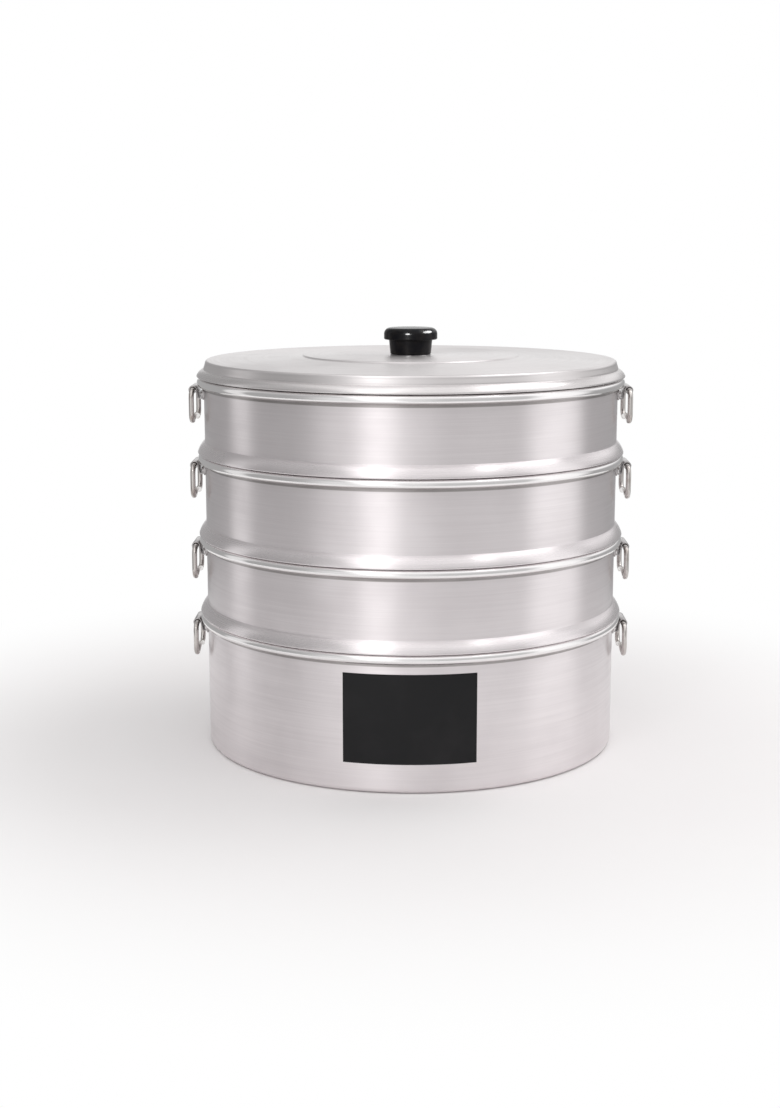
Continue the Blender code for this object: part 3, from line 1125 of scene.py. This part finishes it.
@dataclass
class Vessel(Spinning):
    """The water pot or a tray, known by the node that it replaces."""

    node: str = "base_pot"
    below: float | None = None
    skirt_rise: float = 0.0105
    spigot_depth: float = 0.0120
    floor_corner: float = 0.0040
    hole: float = 0.0105
    hole_pitch: float = 0.0350
    hole_rows: int = 4
    holes_per_row: int = 5

    @property
    def rim(self) -> float:
        """The height of the rim, as packed."""
        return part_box(self.node)[1].z

    @property
    def floor(self) -> float:
        """The height of the floor's underside."""
        return 0.0 if self.below is None else self.below - self.spigot_depth

    def profile(self) -> list[Point]:
        """The whole sheet, from the middle part of the floor inside, over the rim, to its underside."""
        outer = self.wall if self.below is None else self.spigot
        corner = self.floor_corner if self.below is None else self.spigot_corner
        centre = (outer - corner, self.floor + corner)
        flat = centre[0] - corner
        inside = arc(centre, corner - self.sheet, -90.0, 0.0, self.corner_steps)
        outside = arc(centre, corner, 0.0, -90.0, self.corner_steps)
        if self.below is not None:
            inside += self.foot_inside(self.below, self.skirt_rise)
            outside = self.foot_outside(self.below, self.skirt_rise) + [
                (self.spigot, self.below + self.seat_gap - self.bend)] + outside
        return ([(flat, self.floor + self.sheet)] + inside + self.rolled_rim(self.rim) + outside
                + [(flat, self.floor)])

    def hole_places(self) -> list[Matrix]:
        """The floor's holes: one in the middle and rows round it, odd rows turned by half a step."""
        height = self.floor + self.sheet / 2.0
        places = [Matrix.Translation((0.0, 0.0, height))]
        for row in range(1, self.hole_rows + 1):
            count = self.holes_per_row * row
            for index in range(count):
                angle = 2.0 * math.pi * (index + 0.5 * (row % 2)) / count
                reach = row * self.hole_pitch
                spot = (reach * math.cos(angle), reach * math.sin(angle), height)
                places.append(Matrix.Translation(spot))
        return places

    def build(self, bench: Bench, drills: bpy.types.Mesh) -> None:
        """Spin the vessel, pierce it and fit it.

        Args:
            bench: Where it is fitted.
            drills: The rivet holes through its wall.
        """
        mesh = self.spun(self.profile(), self.node)
        cuts = [("DIFFERENCE", drills)]
        if self.below is not None:
            cuts.append(("DIFFERENCE", round_bars(self.hole_places(), self.hole / 2.0, 4.0 * self.sheet,
                                                  2 * self.hole_sides, "punch")))
        finish = POT_METAL if self.below is None else TRAY_METAL
        bench.fit(worked(mesh, cuts), finish, self.node)


@dataclass
class Lid(Spinning):
    """The lid: a top that rises a little to its raised disc, a low wall and an open spigot."""

    node: str = "lid"
    below: float = 0.0
    skirt_rise: float = 0.0068
    spigot_depth: float = 0.0090
    edge: float = 0.0025
    taper: float = 0.0012
    crown_rise: float = 0.0026
    disc: float = 0.0920
    disc_rise: float = 0.0012
    disc_slope: float = 0.0016
    disc_ease: float = 0.0012
    hole: float = 0.0023
    bend_steps: int = 4

    @property
    def disc_top(self) -> float:
        """The height of the raised disc, as packed."""
        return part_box(self.node)[1].z

    def profile(self) -> list[Point]:
        """The whole sheet as a loop, from the screw's hole over the top and back underneath."""
        crown = self.disc_top - self.disc_rise
        top = crown - self.crown_rise
        shoulder = self.wall - self.taper
        outside = rounded([(self.hole, self.disc_top, 0.0),
                           (self.disc - self.disc_slope, self.disc_top, self.disc_ease),
                           (self.disc, crown, self.disc_ease),
                           (shoulder - self.edge, top, 0.0)])
        outside += arc((shoulder - self.edge, top - self.edge), self.edge, 90.0, 0.0,
                       self.corner_steps)[1:]
        outside += self.foot_outside(self.below, self.skirt_rise)
        seat = self.below + self.seat_gap
        end = self.below - self.spigot_depth
        inside = self.spigot - self.sheet
        spigot = [(self.spigot, seat - self.bend)]
        spigot += arc((self.spigot - self.bend, end + self.bend), self.bend, 0.0, -90.0,
                      self.bend_steps)
        spigot += arc((inside + self.bend, end + self.bend), self.bend, -90.0, -180.0,
                      self.bend_steps)
        ceiling = rounded([(shoulder - self.sheet, top - self.sheet - 4.0 * self.bend, 0.0),
                           (shoulder - self.sheet, top - self.sheet, self.bend),
                           (self.disc, crown - self.sheet, self.disc_ease),
                           (self.disc - self.disc_slope, self.disc_top - self.sheet, self.disc_ease),
                           (self.hole, self.disc_top - self.sheet, 0.0)])
        return outside + spigot + self.foot_inside(self.below, self.skirt_rise) + ceiling

    def build(self, bench: Bench) -> None:
        """Spin the lid and fit it.

        Args:
            bench: Where it is fitted.
        """
        bench.fit(self.spun(self.profile(), self.node, closed=True), LID_METAL, self.node)


# Knob and what holds it

@dataclass
class Knob:
    """The moulded knob, its insert, and the washer and screw under the lid."""

    cap: float = 0.0226
    cap_height: float = 0.0104
    cap_edge: float = 0.0052
    crown: float = 0.0006
    underside: float = 0.0010
    neck_top: float = 0.0184
    neck_foot: float = 0.0172
    neck_height: float = 0.0122
    neck_ease: float = 0.00036
    foot_ease: float = 0.0006
    bore: float = 0.0045
    insert_length: float = 0.0110
    clearance: float = 0.0003
    insert: float = 0.0042
    knurl_depth: float = 0.0002
    knurls: int = 24
    thread: float = 0.0020
    thread_depth: float = 0.0003
    thread_pitch: float = 0.0007
    rings_to_turn: float = 6.0
    head: float = 0.0045
    head_side: float = 0.0013
    head_shoulder: float = 0.0036
    head_face: float = 0.00225
    slot_width: float = 0.0010
    slot_depth: float = 0.0012
    washer: float = 0.0085
    washer_edge: float = 0.0002
    steps: int = 96
    screw_steps: int = 48
    crown_steps: int = 10
    edge_steps: int = 16
    underside_steps: int = 6

    def moulding(self) -> bpy.types.Mesh:
        """The cap and neck, hollowed for the insert.

        Returns:
            The knob's mesh.
        """
        low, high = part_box("knob")
        cap_foot = low.z + self.neck_height
        edge = (self.cap - self.cap_edge, cap_foot + self.cap_height - self.crown - self.cap_edge)
        crown = dome(edge[0], self.crown, high.z - self.crown, self.crown_steps)
        round_edge = arc(edge, self.cap_edge, 90.0, 0.0, self.edge_steps)
        belly = arc((self.cap - self.underside, cap_foot + self.underside), self.underside,
                    0.0, -90.0, self.underside_steps)
        neck = rounded([(self.neck_top + self.foot_ease, cap_foot, 0.0),
                        (self.neck_top, cap_foot, self.neck_ease),
                        (self.neck_foot, low.z, self.foot_ease),
                        (self.neck_foot - 3.0 * self.foot_ease, low.z, 0.0)])
        bore_top = low.z + self.insert_length + self.clearance
        bore = [(self.bore, low.z), (self.bore, bore_top)]
        profile = crown[1:] + round_edge[1:] + belly + neck + bore
        return finished(turned(held(profile, self.clearance), self.steps), "knob")

    def insert_mesh(self) -> bpy.types.Mesh:
        """The knurled insert, a tube that takes the screw.

        Returns:
            The insert's mesh.
        """
        low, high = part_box("knob_insert")
        ease = self.knurl_depth
        hole = self.thread + self.clearance
        profile = [(hole, high.z), (self.insert - ease, high.z), (self.insert, high.z - ease),
                   (self.insert, low.z + ease), (self.insert - ease, low.z), (hole, low.z)]
        shape = turned(profile, 2 * self.knurls, closed=True)
        for vertex in shape.verts:
            reach = math.hypot(vertex.co.x, vertex.co.y)
            notch = round(math.atan2(vertex.co.y, vertex.co.x) / math.pi * self.knurls) % 2
            if reach > self.insert - ease / 2.0 and notch:
                vertex.co.xy *= (self.insert - self.knurl_depth) / reach
        return finished(shape, "knob_insert")

    def washer_mesh(self) -> bpy.types.Mesh:
        """The washer under the lid.

        Returns:
            The washer's mesh.
        """
        low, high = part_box("knob_washer")
        hole = self.thread + self.clearance
        ease = self.washer_edge
        profile = [(hole, high.z), (self.washer - ease, high.z), (self.washer, high.z - ease),
                   (self.washer, low.z + 2.0 * ease), (self.washer - 2.0 * ease, low.z), (hole, low.z)]
        return finished(turned(profile, self.steps, closed=True), "knob_washer")

    def screw_mesh(self) -> bpy.types.Mesh:
        """The slotted screw with its thread.

        Returns:
            The screw's mesh.
        """
        low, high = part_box("knob_screw")
        washer_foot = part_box("knob_washer")[0].z
        head_top = washer_foot - self.clearance
        ease = self.thread_depth
        length = high.z - head_top
        rings = int(length / self.thread_pitch * self.rings_to_turn)
        shank = [(self.thread, high.z - length * index / rings) for index in range(1, rings)]
        head = [(self.head, head_top - ease / 2.0)]
        head += rounded([(self.head, head_top - self.head_side, 0.0),
                         (self.head_shoulder, low.z + ease, ease), (self.head_face, low.z, 0.0)])
        profile = [(self.thread - ease, high.z)] + shank
        profile += [(self.thread, head_top), (self.head - ease / 2.0, head_top)] + head
        shape = turned(profile, self.screw_steps)
        near = ease / 10.0
        for vertex in shape.verts:
            reach = math.hypot(vertex.co.x, vertex.co.y)
            if abs(reach - self.thread) < near and vertex.co.z > head_top + self.thread_pitch:
                turn = math.atan2(vertex.co.y, vertex.co.x) / (2.0 * math.pi)
                phase = (vertex.co.z / self.thread_pitch - turn) % 1.0
                vertex.co.xy *= 1.0 - abs(2.0 * phase - 1.0) * self.thread_depth / self.thread
        slot = bmesh.new()
        size = Matrix.Diagonal((3.0 * self.head, self.slot_width, 2.0 * self.slot_depth, 1.0))
        bmesh.ops.create_cube(slot, size=1.0, matrix=Matrix.Translation((0.0, 0.0, low.z)) @ size)
        return worked(finished(shape, "knob_screw"), [("DIFFERENCE", finished(slot, "slot"))])

    def build(self, bench: Bench) -> bpy.types.Object:
        """Make the four pieces and fit them.

        Args:
            bench: Where they are fitted.

        Returns:
            The moulding.
        """
        moulding = bench.fit(self.moulding(), KNOB_BLACK, "knob")
        bench.fit(self.insert_mesh(), INSERT_BRASS, "knob_insert")
        bench.fit(self.washer_mesh(), WASHER_ZINC, "knob_washer")
        bench.fit(self.screw_mesh(), SCREW_STEEL, "knob_screw")
        return moulding


# Handles

@dataclass
class Handle:
    """A drop ring in its riveted lug. Meshes are made once on the right side and copied from there."""

    wall: float = 0.1750
    sheet: float = 0.0020
    gap: float = 0.0001
    bar_reach: float = 0.0090
    bar_drop: float = 0.0115
    wire: float = 0.0044
    width: float = 0.0505
    drop: float = 0.0255
    top_corner: float = 0.0070
    foot_corner: float = 0.0080
    arch: float = 0.0030
    bar_clearance: float = 0.00035
    strap: float = 0.0011
    strap_width: float = 0.0280
    strap_fold: float = 0.0021
    strap_edge: float = 0.0003
    strap_edge_steps: int = 3
    fold_turn: float = 173.0
    fold_steps: int = 14
    curl_start: float = 173.0
    curl_end: float = -100.0
    curl_steps: int = 36
    foot_drop: float = 0.0080
    plate_width: float = 0.0440
    plate_top: float = 0.0022
    plate: float = 0.0013
    plate_corner: float = 0.0040
    plate_edge: float = 0.0004
    plate_corner_steps: int = 6
    plate_edge_steps: int = 3
    plate_weld: float = 0.000001
    plate_slices: int = 10
    rivet_spacing: float = 0.0356
    rivet_drop: float = 0.0030
    shank: float = 0.0017
    shank_clearance: float = 0.0003
    head: float = 0.0033
    head_height: float = 0.0014
    tail_height: float = 0.0007
    head_edge: float = 0.0003
    wire_sides: int = 20
    top_steps: int = 10
    foot_steps: int = 12
    arch_steps: int = 20
    drill_sides: int = 16
    rivet_steps: int = 32
    head_steps: int = 8
    tail_steps: int = 5

    @property
    def bar(self) -> float:
        """The radius on which the ring's bar lies."""
        return self.wall + self.bar_reach

    def rivet_angle(self, rivet: Rivet) -> float:
        """The bearing of a rivet from the lug's middle."""
        return rivet.value * self.rivet_spacing / 2.0 / self.wall

    def place(self, rim: float, side: Side) -> Matrix:
        """Where a handle's meshes go.

        Args:
            rim: The height of the vessel's rim.
            side: The side of the stack.

        Returns:
            The turn and the height of the bar's axis.
        """
        return Matrix.Rotation(side.value, 4, "Z") @ Matrix.Translation((0.0, 0.0, rim - self.bar_drop))

    def drills(self, rim: float) -> bpy.types.Mesh:
        """The rivet holes of both lugs of a vessel, for cutting its wall.

        Args:
            rim: The height of the vessel's rim.

        Returns:
            The bars as one mesh.
        """
        places = []
        for side in Side:
            for rivet in Rivet:
                places.append(self.place(rim, side) @ self.rivet_place(rivet))
        return self.rivet_drills(places, "drills")

    def rivet_drills(self, places: list[Matrix], name: str) -> bpy.types.Mesh:
        """Bars that cut rivet holes.

        Args:
            places: Where each bar's middle lies.
            name: The mesh's name.

        Returns:
            The bars as one mesh.
        """
        return round_bars(places, self.shank + self.shank_clearance, 4.0 * self.sheet,
                          self.drill_sides, name)

    def rivet_place(self, rivet: Rivet) -> Matrix:
        """Where a rivet's axis meets the wall's outer face, with Z outwards, from the bar's height."""
        turn = Matrix.Rotation(self.rivet_angle(rivet), 4, "Z")
        out = Matrix.Translation((self.wall, 0.0, -self.rivet_drop))
        return turn @ out @ Matrix.Rotation(math.radians(90.0), 4, "Y")

    def ring(self) -> bpy.types.Mesh:
        """The drop ring, a closed loop of wire whose foot arches up in the middle.

        Returns:
            The ring's mesh.
        """
        half = self.width / 2.0
        front = arc((half - self.top_corner, -self.top_corner), self.top_corner, 90.0, 0.0,
                    self.top_steps)
        front += arc((half - self.foot_corner, self.foot_corner - self.drop), self.foot_corner,
                     0.0, -90.0, self.foot_steps)
        rear = [(-y, z) for y, z in reversed(front)]
        foot = bowed(front[-1], rear[0], -self.arch, self.arch_steps)
        section = round_section(self.wire / 2.0, self.wire_sides)
        shape = swept(front + foot[1:-1] + rear, section, closed=True)
        shape.transform(Matrix.Translation((self.bar, 0.0, 0.0)) @ Matrix.Rotation(math.pi / 2.0, 4, "Z"))
        return finished(shape, "ring")

    def strap_line(self) -> list[Point]:
        """The strap's middle line: low on the plate, out in a fold, up to the bar and round it."""
        curl = self.wire / 2.0 + self.bar_clearance + self.strap / 2.0
        plate = self.gap + self.plate / 2.0 - self.bar_reach
        fold = (plate + self.strap_fold, self.strap / 2.0 + self.strap_fold - self.foot_drop)
        points = [(plate, fold[1] + self.plate)]
        points += arc(fold, self.strap_fold, 180.0, 180.0 + self.fold_turn, self.fold_steps)
        points += arc((0.0, 0.0), curl, self.curl_start, self.curl_end, self.curl_steps)
        return points

    def plate_mesh(self) -> bpy.types.Mesh:
        """The lug's plate, eased at its edges and bent onto the wall.

        Returns:
            The plate's mesh.
        """
        middle = (self.plate_top - self.foot_drop) / 2.0
        shape = bmesh.new()
        outline = strip_section(self.plate_width, self.plate_top + self.foot_drop, self.plate_corner,
                                self.plate_corner_steps)
        foot = [shape.verts.new((0.0, along, height + middle)) for height, along in outline]
        base = shape.faces.new(foot)
        raised = bmesh.ops.extrude_face_region(shape, geom=[base])["geom"]
        front = [item for item in raised if isinstance(item, bmesh.types.BMVert)]
        bmesh.ops.translate(shape, verts=front, vec=(self.plate, 0.0, 0.0))
        bmesh.ops.remove_doubles(shape, verts=shape.verts, dist=self.plate_weld)
        rim = [edge for edge in shape.edges if all(vertex in front for vertex in edge.verts)]
        bmesh.ops.bevel(shape, geom=rim, offset=self.plate_edge, segments=self.plate_edge_steps,
                        profile=0.5, affect="EDGES")
        for index in range(1, self.plate_slices):
            along = self.plate_width * (index / self.plate_slices - 0.5)
            everything = shape.verts[:] + shape.edges[:] + shape.faces[:]
            bmesh.ops.bisect_plane(shape, geom=everything, plane_co=(0.0, along, 0.0),
                                   plane_no=(0.0, 1.0, 0.0))
        for vertex in shape.verts:
            depth, along, height = vertex.co
            reach = self.wall + self.gap + depth
            angle = along / self.wall
            vertex.co = (reach * math.cos(angle), reach * math.sin(angle), height)
        return finished(shape, "plate")

    def lug(self) -> bpy.types.Mesh:
        """The plate joined to the strap that curls round the bar, drilled for the rivets.

        Returns:
            The lug's mesh.
        """
        section = strip_section(self.strap_width, self.strap, self.strap_edge, self.strap_edge_steps)
        strap = swept(self.strap_line(), section, closed=False)
        strap.transform(Matrix.Translation((self.bar, 0.0, 0.0)))
        holes = self.rivet_drills([self.rivet_place(rivet) for rivet in Rivet], "lug_holes")
        return worked(self.plate_mesh(), [("UNION", finished(strap, "strap")), ("DIFFERENCE", holes)])

    def rivet(self) -> bpy.types.Mesh:
        """One rivet with its axis on Z and its middle on the wall's outer face.

        Returns:
            The rivet's mesh.
        """
        outer = self.gap + self.plate + self.gap
        inner = -self.sheet - self.gap
        crown = dome(self.head, self.head_height, outer + self.head_edge, self.head_steps)
        below = dome(self.head, self.tail_height, -inner, self.tail_steps)
        tail = [(radius, -height) for radius, height in below]
        profile = crown[1:] + [(self.head, outer), (self.shank, outer), (self.shank, inner)]
        profile += list(reversed(tail))[:-1]
        return finished(turned(profile, self.rivet_steps), "rivet")

    def build(self, bench: Bench, vessels: dict[str, float]) -> None:
        """Make the meshes once and fit a copy on each side of each vessel.

        Args:
            bench: Where they are fitted.
            vessels: The height of each vessel's rim.
        """
        lug = self.lug()
        ring = self.ring()
        rivet_mesh = self.rivet()
        for vessel, rim in vessels.items():
            for side in Side:
                start = f"{vessel}_{side.word}"
                place = self.place(rim, side)
                bench.fit(moved(lug, place, f"{start}_lug"), LUG_METAL, f"{start}_lug")
                bench.fit(moved(ring, place, f"{start}_ring"), RING_METAL, f"{start}_ring")
                for rivet in Rivet:
                    node = f"{start}_{rivet.word}_rivet"
                    bench.fit(moved(rivet_mesh, place @ self.rivet_place(rivet), node), RIVET_METAL, node)


# Label

@dataclass
class Label:
    """The bare film label on the front of the water pot."""

    carrier: str = "base_pot"
    wall: float = 0.1750
    width: float = 0.1050
    foot: float = 0.0240
    height: float = 0.0726
    film: float = 0.00012
    lift: float = 0.00006
    wave: float = 0.00006
    waves_around: float = 12.0
    waves_up: float = 45.0
    columns: int = 84
    rows: int = 48

    def build(self, bench: Bench) -> None:
        """Lay the film on the wall, with the slight waves of film stuck by hand.

        Args:
            bench: Where it is fitted.
        """
        shape = bmesh.new()
        spread = math.asin(self.width / 2.0 / self.wall)
        grid = []
        for row in range(self.rows + 1):
            line = []
            for column in range(self.columns + 1):
                angle = spread * (2.0 * column / self.columns - 1.0)
                height = self.foot + self.height * row / self.rows
                spot = Vector((angle * self.waves_around, height * self.waves_up, 0.0))
                wave = noise.noise(spot) * self.wave
                reach = self.wall + self.lift + self.film + max(wave, 0.0)
                line.append(shape.verts.new((reach * math.sin(angle), -reach * math.cos(angle), height)))
            grid.append(line)
        for lower, upper in zip(grid, grid[1:]):
            for column in range(self.columns):
                shape.faces.new((lower[column], lower[column + 1], upper[column + 1], upper[column]))
        bmesh.ops.recalc_face_normals(shape, faces=shape.faces)
        bmesh.ops.solidify(shape, geom=shape.faces[:], thickness=self.film)
        bench.fit(finished(shape, "label"), LABEL_FILM, self.carrier, "front_label")


# Studio and camera

@dataclass(frozen=True)
class SoftBand:
    """An upright band of light round the stack, seen from its middle.

    The azimuth of its middle is in degrees from the camera's side, with the right positive. The core is
    half of its full width and the fade is the width of the soft edge beside it, in degrees as well.
    """

    azimuth: float
    core: float
    fade: float
    level: float


@dataclass
class Surroundings:
    """What the metal mirrors: a ceiling, soft upright bands and a white backdrop behind the stack.

    A span is where a soft edge starts and ends, as a part of a direction of length one. Straight up
    has no level part, so a least value keeps the division by it possible.
    """

    ambient: float = 0.40
    ceiling: float = 1.10
    ceiling_left: float = 0.60
    ceiling_right: float = 0.10
    ceiling_fall: float = 0.38
    left_edge: Span = (-0.57, -0.37)
    right_edge: Span = (0.30, 0.46)
    back_edge: Span = (0.15, 0.60)
    ceiling_edge: Span = (0.25, 0.85)
    bands: tuple[SoftBand, ...] = (
        SoftBand(12.0, 48.0, 34.0, 0.20),
        SoftBand(-20.0, 14.0, 26.0, 0.22),
        SoftBand(88.0, 2.0, 24.0, 0.68),
        SoftBand(-107.0, 3.0, 9.0, 0.42),
    )
    band_top: Span = (0.30, 0.75)
    strip: SoftBand = SoftBand(-17.6, 2.0, 14.0, 0.56)
    strip_lean: float = 5.6
    strip_end: Span = (-0.2, 0.1)
    high_band: SoftBand = SoftBand(143.0, 18.0, 22.0, 0.65)
    high_foot: Span = (0.05, 0.32)
    backdrop: SoftBand = SoftBand(180.0, 9.0, 8.0, 1.0)
    least_flat: float = 0.0001

    def toward(self, board: Board, x: Signal, y: Signal, band: SoftBand) -> Signal:
        """How much of a band a direction sees.

        Args:
            board: The world's board.
            x: The direction's level part to the right, of length one with y.
            y: The direction's level part away from the camera.
            band: The band.

        Returns:
            Its level there.
        """
        angle = math.radians(band.azimuth)
        facing = x * math.sin(angle) - y * math.cos(angle)
        return board.step(facing, math.cos(math.radians(band.core + band.fade)),
                          math.cos(math.radians(band.core)), band.level)

    def tall_strip(self, board: Board, x: Signal, y: Signal, z: Signal) -> Signal:
        """A strip of light on the camera's side that leans over and ends beyond the zenith.

        Args:
            board: The world's board.
            x: The direction's part to the right.
            y: The direction's part away from the camera.
            z: The direction's part up.

        Returns:
            Its level there.
        """
        angle = math.radians(self.strip.azimuth)
        lean = math.radians(self.strip_lean)
        aside = (x * math.cos(angle) + y * math.sin(angle)) * math.cos(lean) + z * math.sin(lean)
        beside = board.step(board.math("ABSOLUTE", aside), math.sin(math.radians(self.strip.core)),
                            math.sin(math.radians(self.strip.core + self.strip.fade)))
        ahead = board.step(x * math.sin(angle) - y * math.cos(angle), *self.strip_end, self.strip.level)
        return (1.0 - beside) * ahead

    def overhead(self, board: Board, x: Signal, y: Signal) -> Signal:
        """The ceiling, dimmer at the left and at the back.

        Args:
            board: The world's board.
            x: The direction's part to the right.
            y: The direction's part away from the camera.

        Returns:
            Its level there.
        """
        level = board.step(x, *self.left_edge, self.ceiling - self.ceiling_left) + self.ceiling_left
        level = level + board.step(x, *self.right_edge, self.ceiling_right)
        return level * (1.0 - board.step(y, *self.back_edge, self.ceiling_fall))

    def build(self) -> None:
        """Set up the world, which is plain white to the camera."""
        world = bpy.data.worlds.new("studio")
        world.use_nodes = True
        bpy.context.scene.world = world
        board = Board(world.node_tree)
        x, y, z = board.parts(board.add("ShaderNodeTexCoord", output="Generated"))
        flat = board.math("SQRT", x * x + y * y) + self.least_flat
        across = x / flat
        away = y / flat
        high = board.step(z, *self.ceiling_edge)
        low = 1.0 - board.step(z, *self.band_top)
        light = high * self.overhead(board, x, y) + (1.0 - high) * self.ambient
        for band in self.bands:
            light = light + self.toward(board, across, away, band) * low
        light = light + self.tall_strip(board, x, y, z)
        above = board.step(z, *self.high_foot)
        light = light + self.toward(board, across, away, self.high_band) * above * low
        behind = self.toward(board, across, away, self.backdrop) * low
        white = board.rays("Camera") + board.rays("Glossy", "Transmission") * behind
        light = light * (1.0 - white) + white
        background = world.node_tree.nodes["Background"]
        board.link(background.inputs["Color"], board.vector(light, light, light))
        background.inputs["Strength"].default_value = 1.0


@dataclass
class Floor:
    """The pale floor, which keeps the shadow near the stack and fades to white further off."""

    colour: Colour = (0.92, 0.90, 0.90)
    darkest: float = 0.97
    clouds_to_metre: float = 3.0
    roughness: float = 0.65
    specular: float = 0.15
    radius: float = 0.64
    white_edge: Span = (0.28, 0.62)
    sides: int = 96
    drop: float = 0.0002

    def surface(self) -> bpy.types.Material:
        """Wire the floor's material, pale near the stack and white beyond.

        Returns:
            The material.
        """
        material = bpy.data.materials.new("pale_floor")
        material.use_nodes = True
        tree = material.node_tree
        board = Board(tree)
        shader = tree.nodes["Principled BSDF"]
        shader.inputs["Roughness"].default_value = self.roughness
        shader.inputs["Specular IOR Level"].default_value = self.specular
        place = board.place()
        cloud = board.grain(place, self.clouds_to_metre, 4.0)
        darker = tuple(part * self.darkest for part in self.colour)
        board.link(shader.inputs["Base Color"], board.mix(cloud, self.colour, darker))
        x, y, _ = board.parts(place)
        far = board.step(board.math("SQRT", x * x + y * y), *self.white_edge)
        seen = board.rays("Camera", "Glossy", "Transmission")
        glow = board.add("ShaderNodeEmission", inputs={"Color": (1.0, 1.0, 1.0, 1.0), "Strength": 1.0})
        mixed = board.add("ShaderNodeMixShader", inputs={0: far * seen,
                                                         1: Signal(board, shader.outputs[0]), 2: glow})
        board.link(tree.nodes["Material Output"].inputs["Surface"], mixed)
        return material

    def build(self) -> None:
        """Lay the floor just under the stack."""
        shape = bmesh.new()
        bmesh.ops.create_circle(shape, cap_ends=True, segments=self.sides, radius=self.radius)
        mesh = bpy.data.meshes.new("floor")
        shape.to_mesh(mesh)
        shape.free()
        mesh.materials.append(self.surface())
        floor = bpy.data.objects.new("floor", mesh)
        floor.location.z = -self.drop
        bpy.context.scene.collection.objects.link(floor)


@dataclass(frozen=True)
class Lamp:
    """A soft oval lamp that points at a height on the stack's axis."""

    name: str
    place: Place
    width: float
    height: float
    power: float
    aim: float = 0.15

    def hang(self) -> bpy.types.Object:
        """Put the lamp in its place and aim it.

        Returns:
            The lamp.
        """
        light = bpy.data.lights.new(self.name, "AREA")
        light.shape = "ELLIPSE"
        light.size = self.width
        light.size_y = self.height
        light.energy = self.power
        lamp = bpy.data.objects.new(self.name, light)
        lamp.location = self.place
        way = Vector((0.0, 0.0, self.aim)) - Vector(self.place)
        lamp.rotation_euler = way.to_track_quat("-Z", "Y").to_euler()
        bpy.context.scene.collection.objects.link(lamp)
        return lamp


@dataclass
class Studio:
    """The surroundings, the floor and the lamps.

    The knob's lamps stand for the windows that its gloss shows. Only the knob receives their light.
    """

    lamps: tuple[Lamp, ...] = (
        Lamp("soft_lamp", (0.86, 0.30, 1.66), 0.90, 0.90, 3.4),
        Lamp("left_lamp", (-0.42, -1.10, 1.35), 0.24, 0.24, 0.6),
        Lamp("right_lamp", (0.74, -0.50, 1.50), 0.24, 0.24, 0.4),
    )
    knob_lamps: tuple[Lamp, ...] = (
        Lamp("knob_front_lamp", (-0.20, -0.94, 0.62), 0.30, 0.42, 34.0, 0.345),
        Lamp("knob_side_lamp", (0.82, 0.02, 0.92), 0.84, 0.50, 68.0, 0.345),
    )

    def build(self) -> None:
        """Set up the whole studio but the knob's lamps."""
        bpy.context.scene.view_settings.view_transform = "Standard"
        Surroundings().build()
        Floor().build()
        for lamp in self.lamps:
            lamp.hang()

    def light_knob(self, knob: bpy.types.Object) -> None:
        """Hang the lamps that light the knob alone.

        Args:
            knob: The knob's piece.
        """
        receivers = bpy.data.collections.new("knob_receivers")
        receivers.objects.link(knob)
        for lamp in self.knob_lamps:
            lamp.hang().light_linking.receiver_collection = receivers


@dataclass
class PhotoCamera:
    """The camera that took the photograph, fitted to the rims of the stack."""

    distance: float = 1.48365
    height: float = 0.43766
    tilt_down: float = 0.1856
    turn_left: float = 0.0118
    lens: float = 56.59
    sensor: float = 36.0
    reach: float = 50.0

    def build(self) -> None:
        """Place the camera and look through it."""
        lens = bpy.data.cameras.new("photo_camera")
        lens.lens = self.lens
        lens.sensor_width = self.sensor
        lens.clip_end = self.reach
        camera = bpy.data.objects.new("photo_camera", lens)
        camera.location = (0.0, -self.distance, self.height)
        camera.rotation_euler = (math.pi / 2.0 - self.tilt_down, 0.0, self.turn_left)
        bpy.context.scene.collection.objects.link(camera)
        bpy.context.scene.camera = camera


def main() -> None:
    """Build the studio and every piece."""
    logging.basicConfig(level=logging.INFO, format="%(name)s %(message)s")
    bench = Bench(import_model())
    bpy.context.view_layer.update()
    studio = Studio()
    studio.build()
    PhotoCamera().build()
    handle = Handle()
    vessels: dict[str, float] = {}
    below = None
    for node in ("base_pot", "lower_tray", "middle_tray", "upper_tray"):
        vessel = Vessel(node=node, below=below)
        vessel.build(bench, handle.drills(vessel.rim))
        vessels[node] = vessel.rim
        below = vessel.rim
    Lid(below=below).build(bench)
    studio.light_knob(Knob().build(bench))
    handle.build(bench, vessels)
    Label().build(bench)


if __name__ == "__main__":
    main()
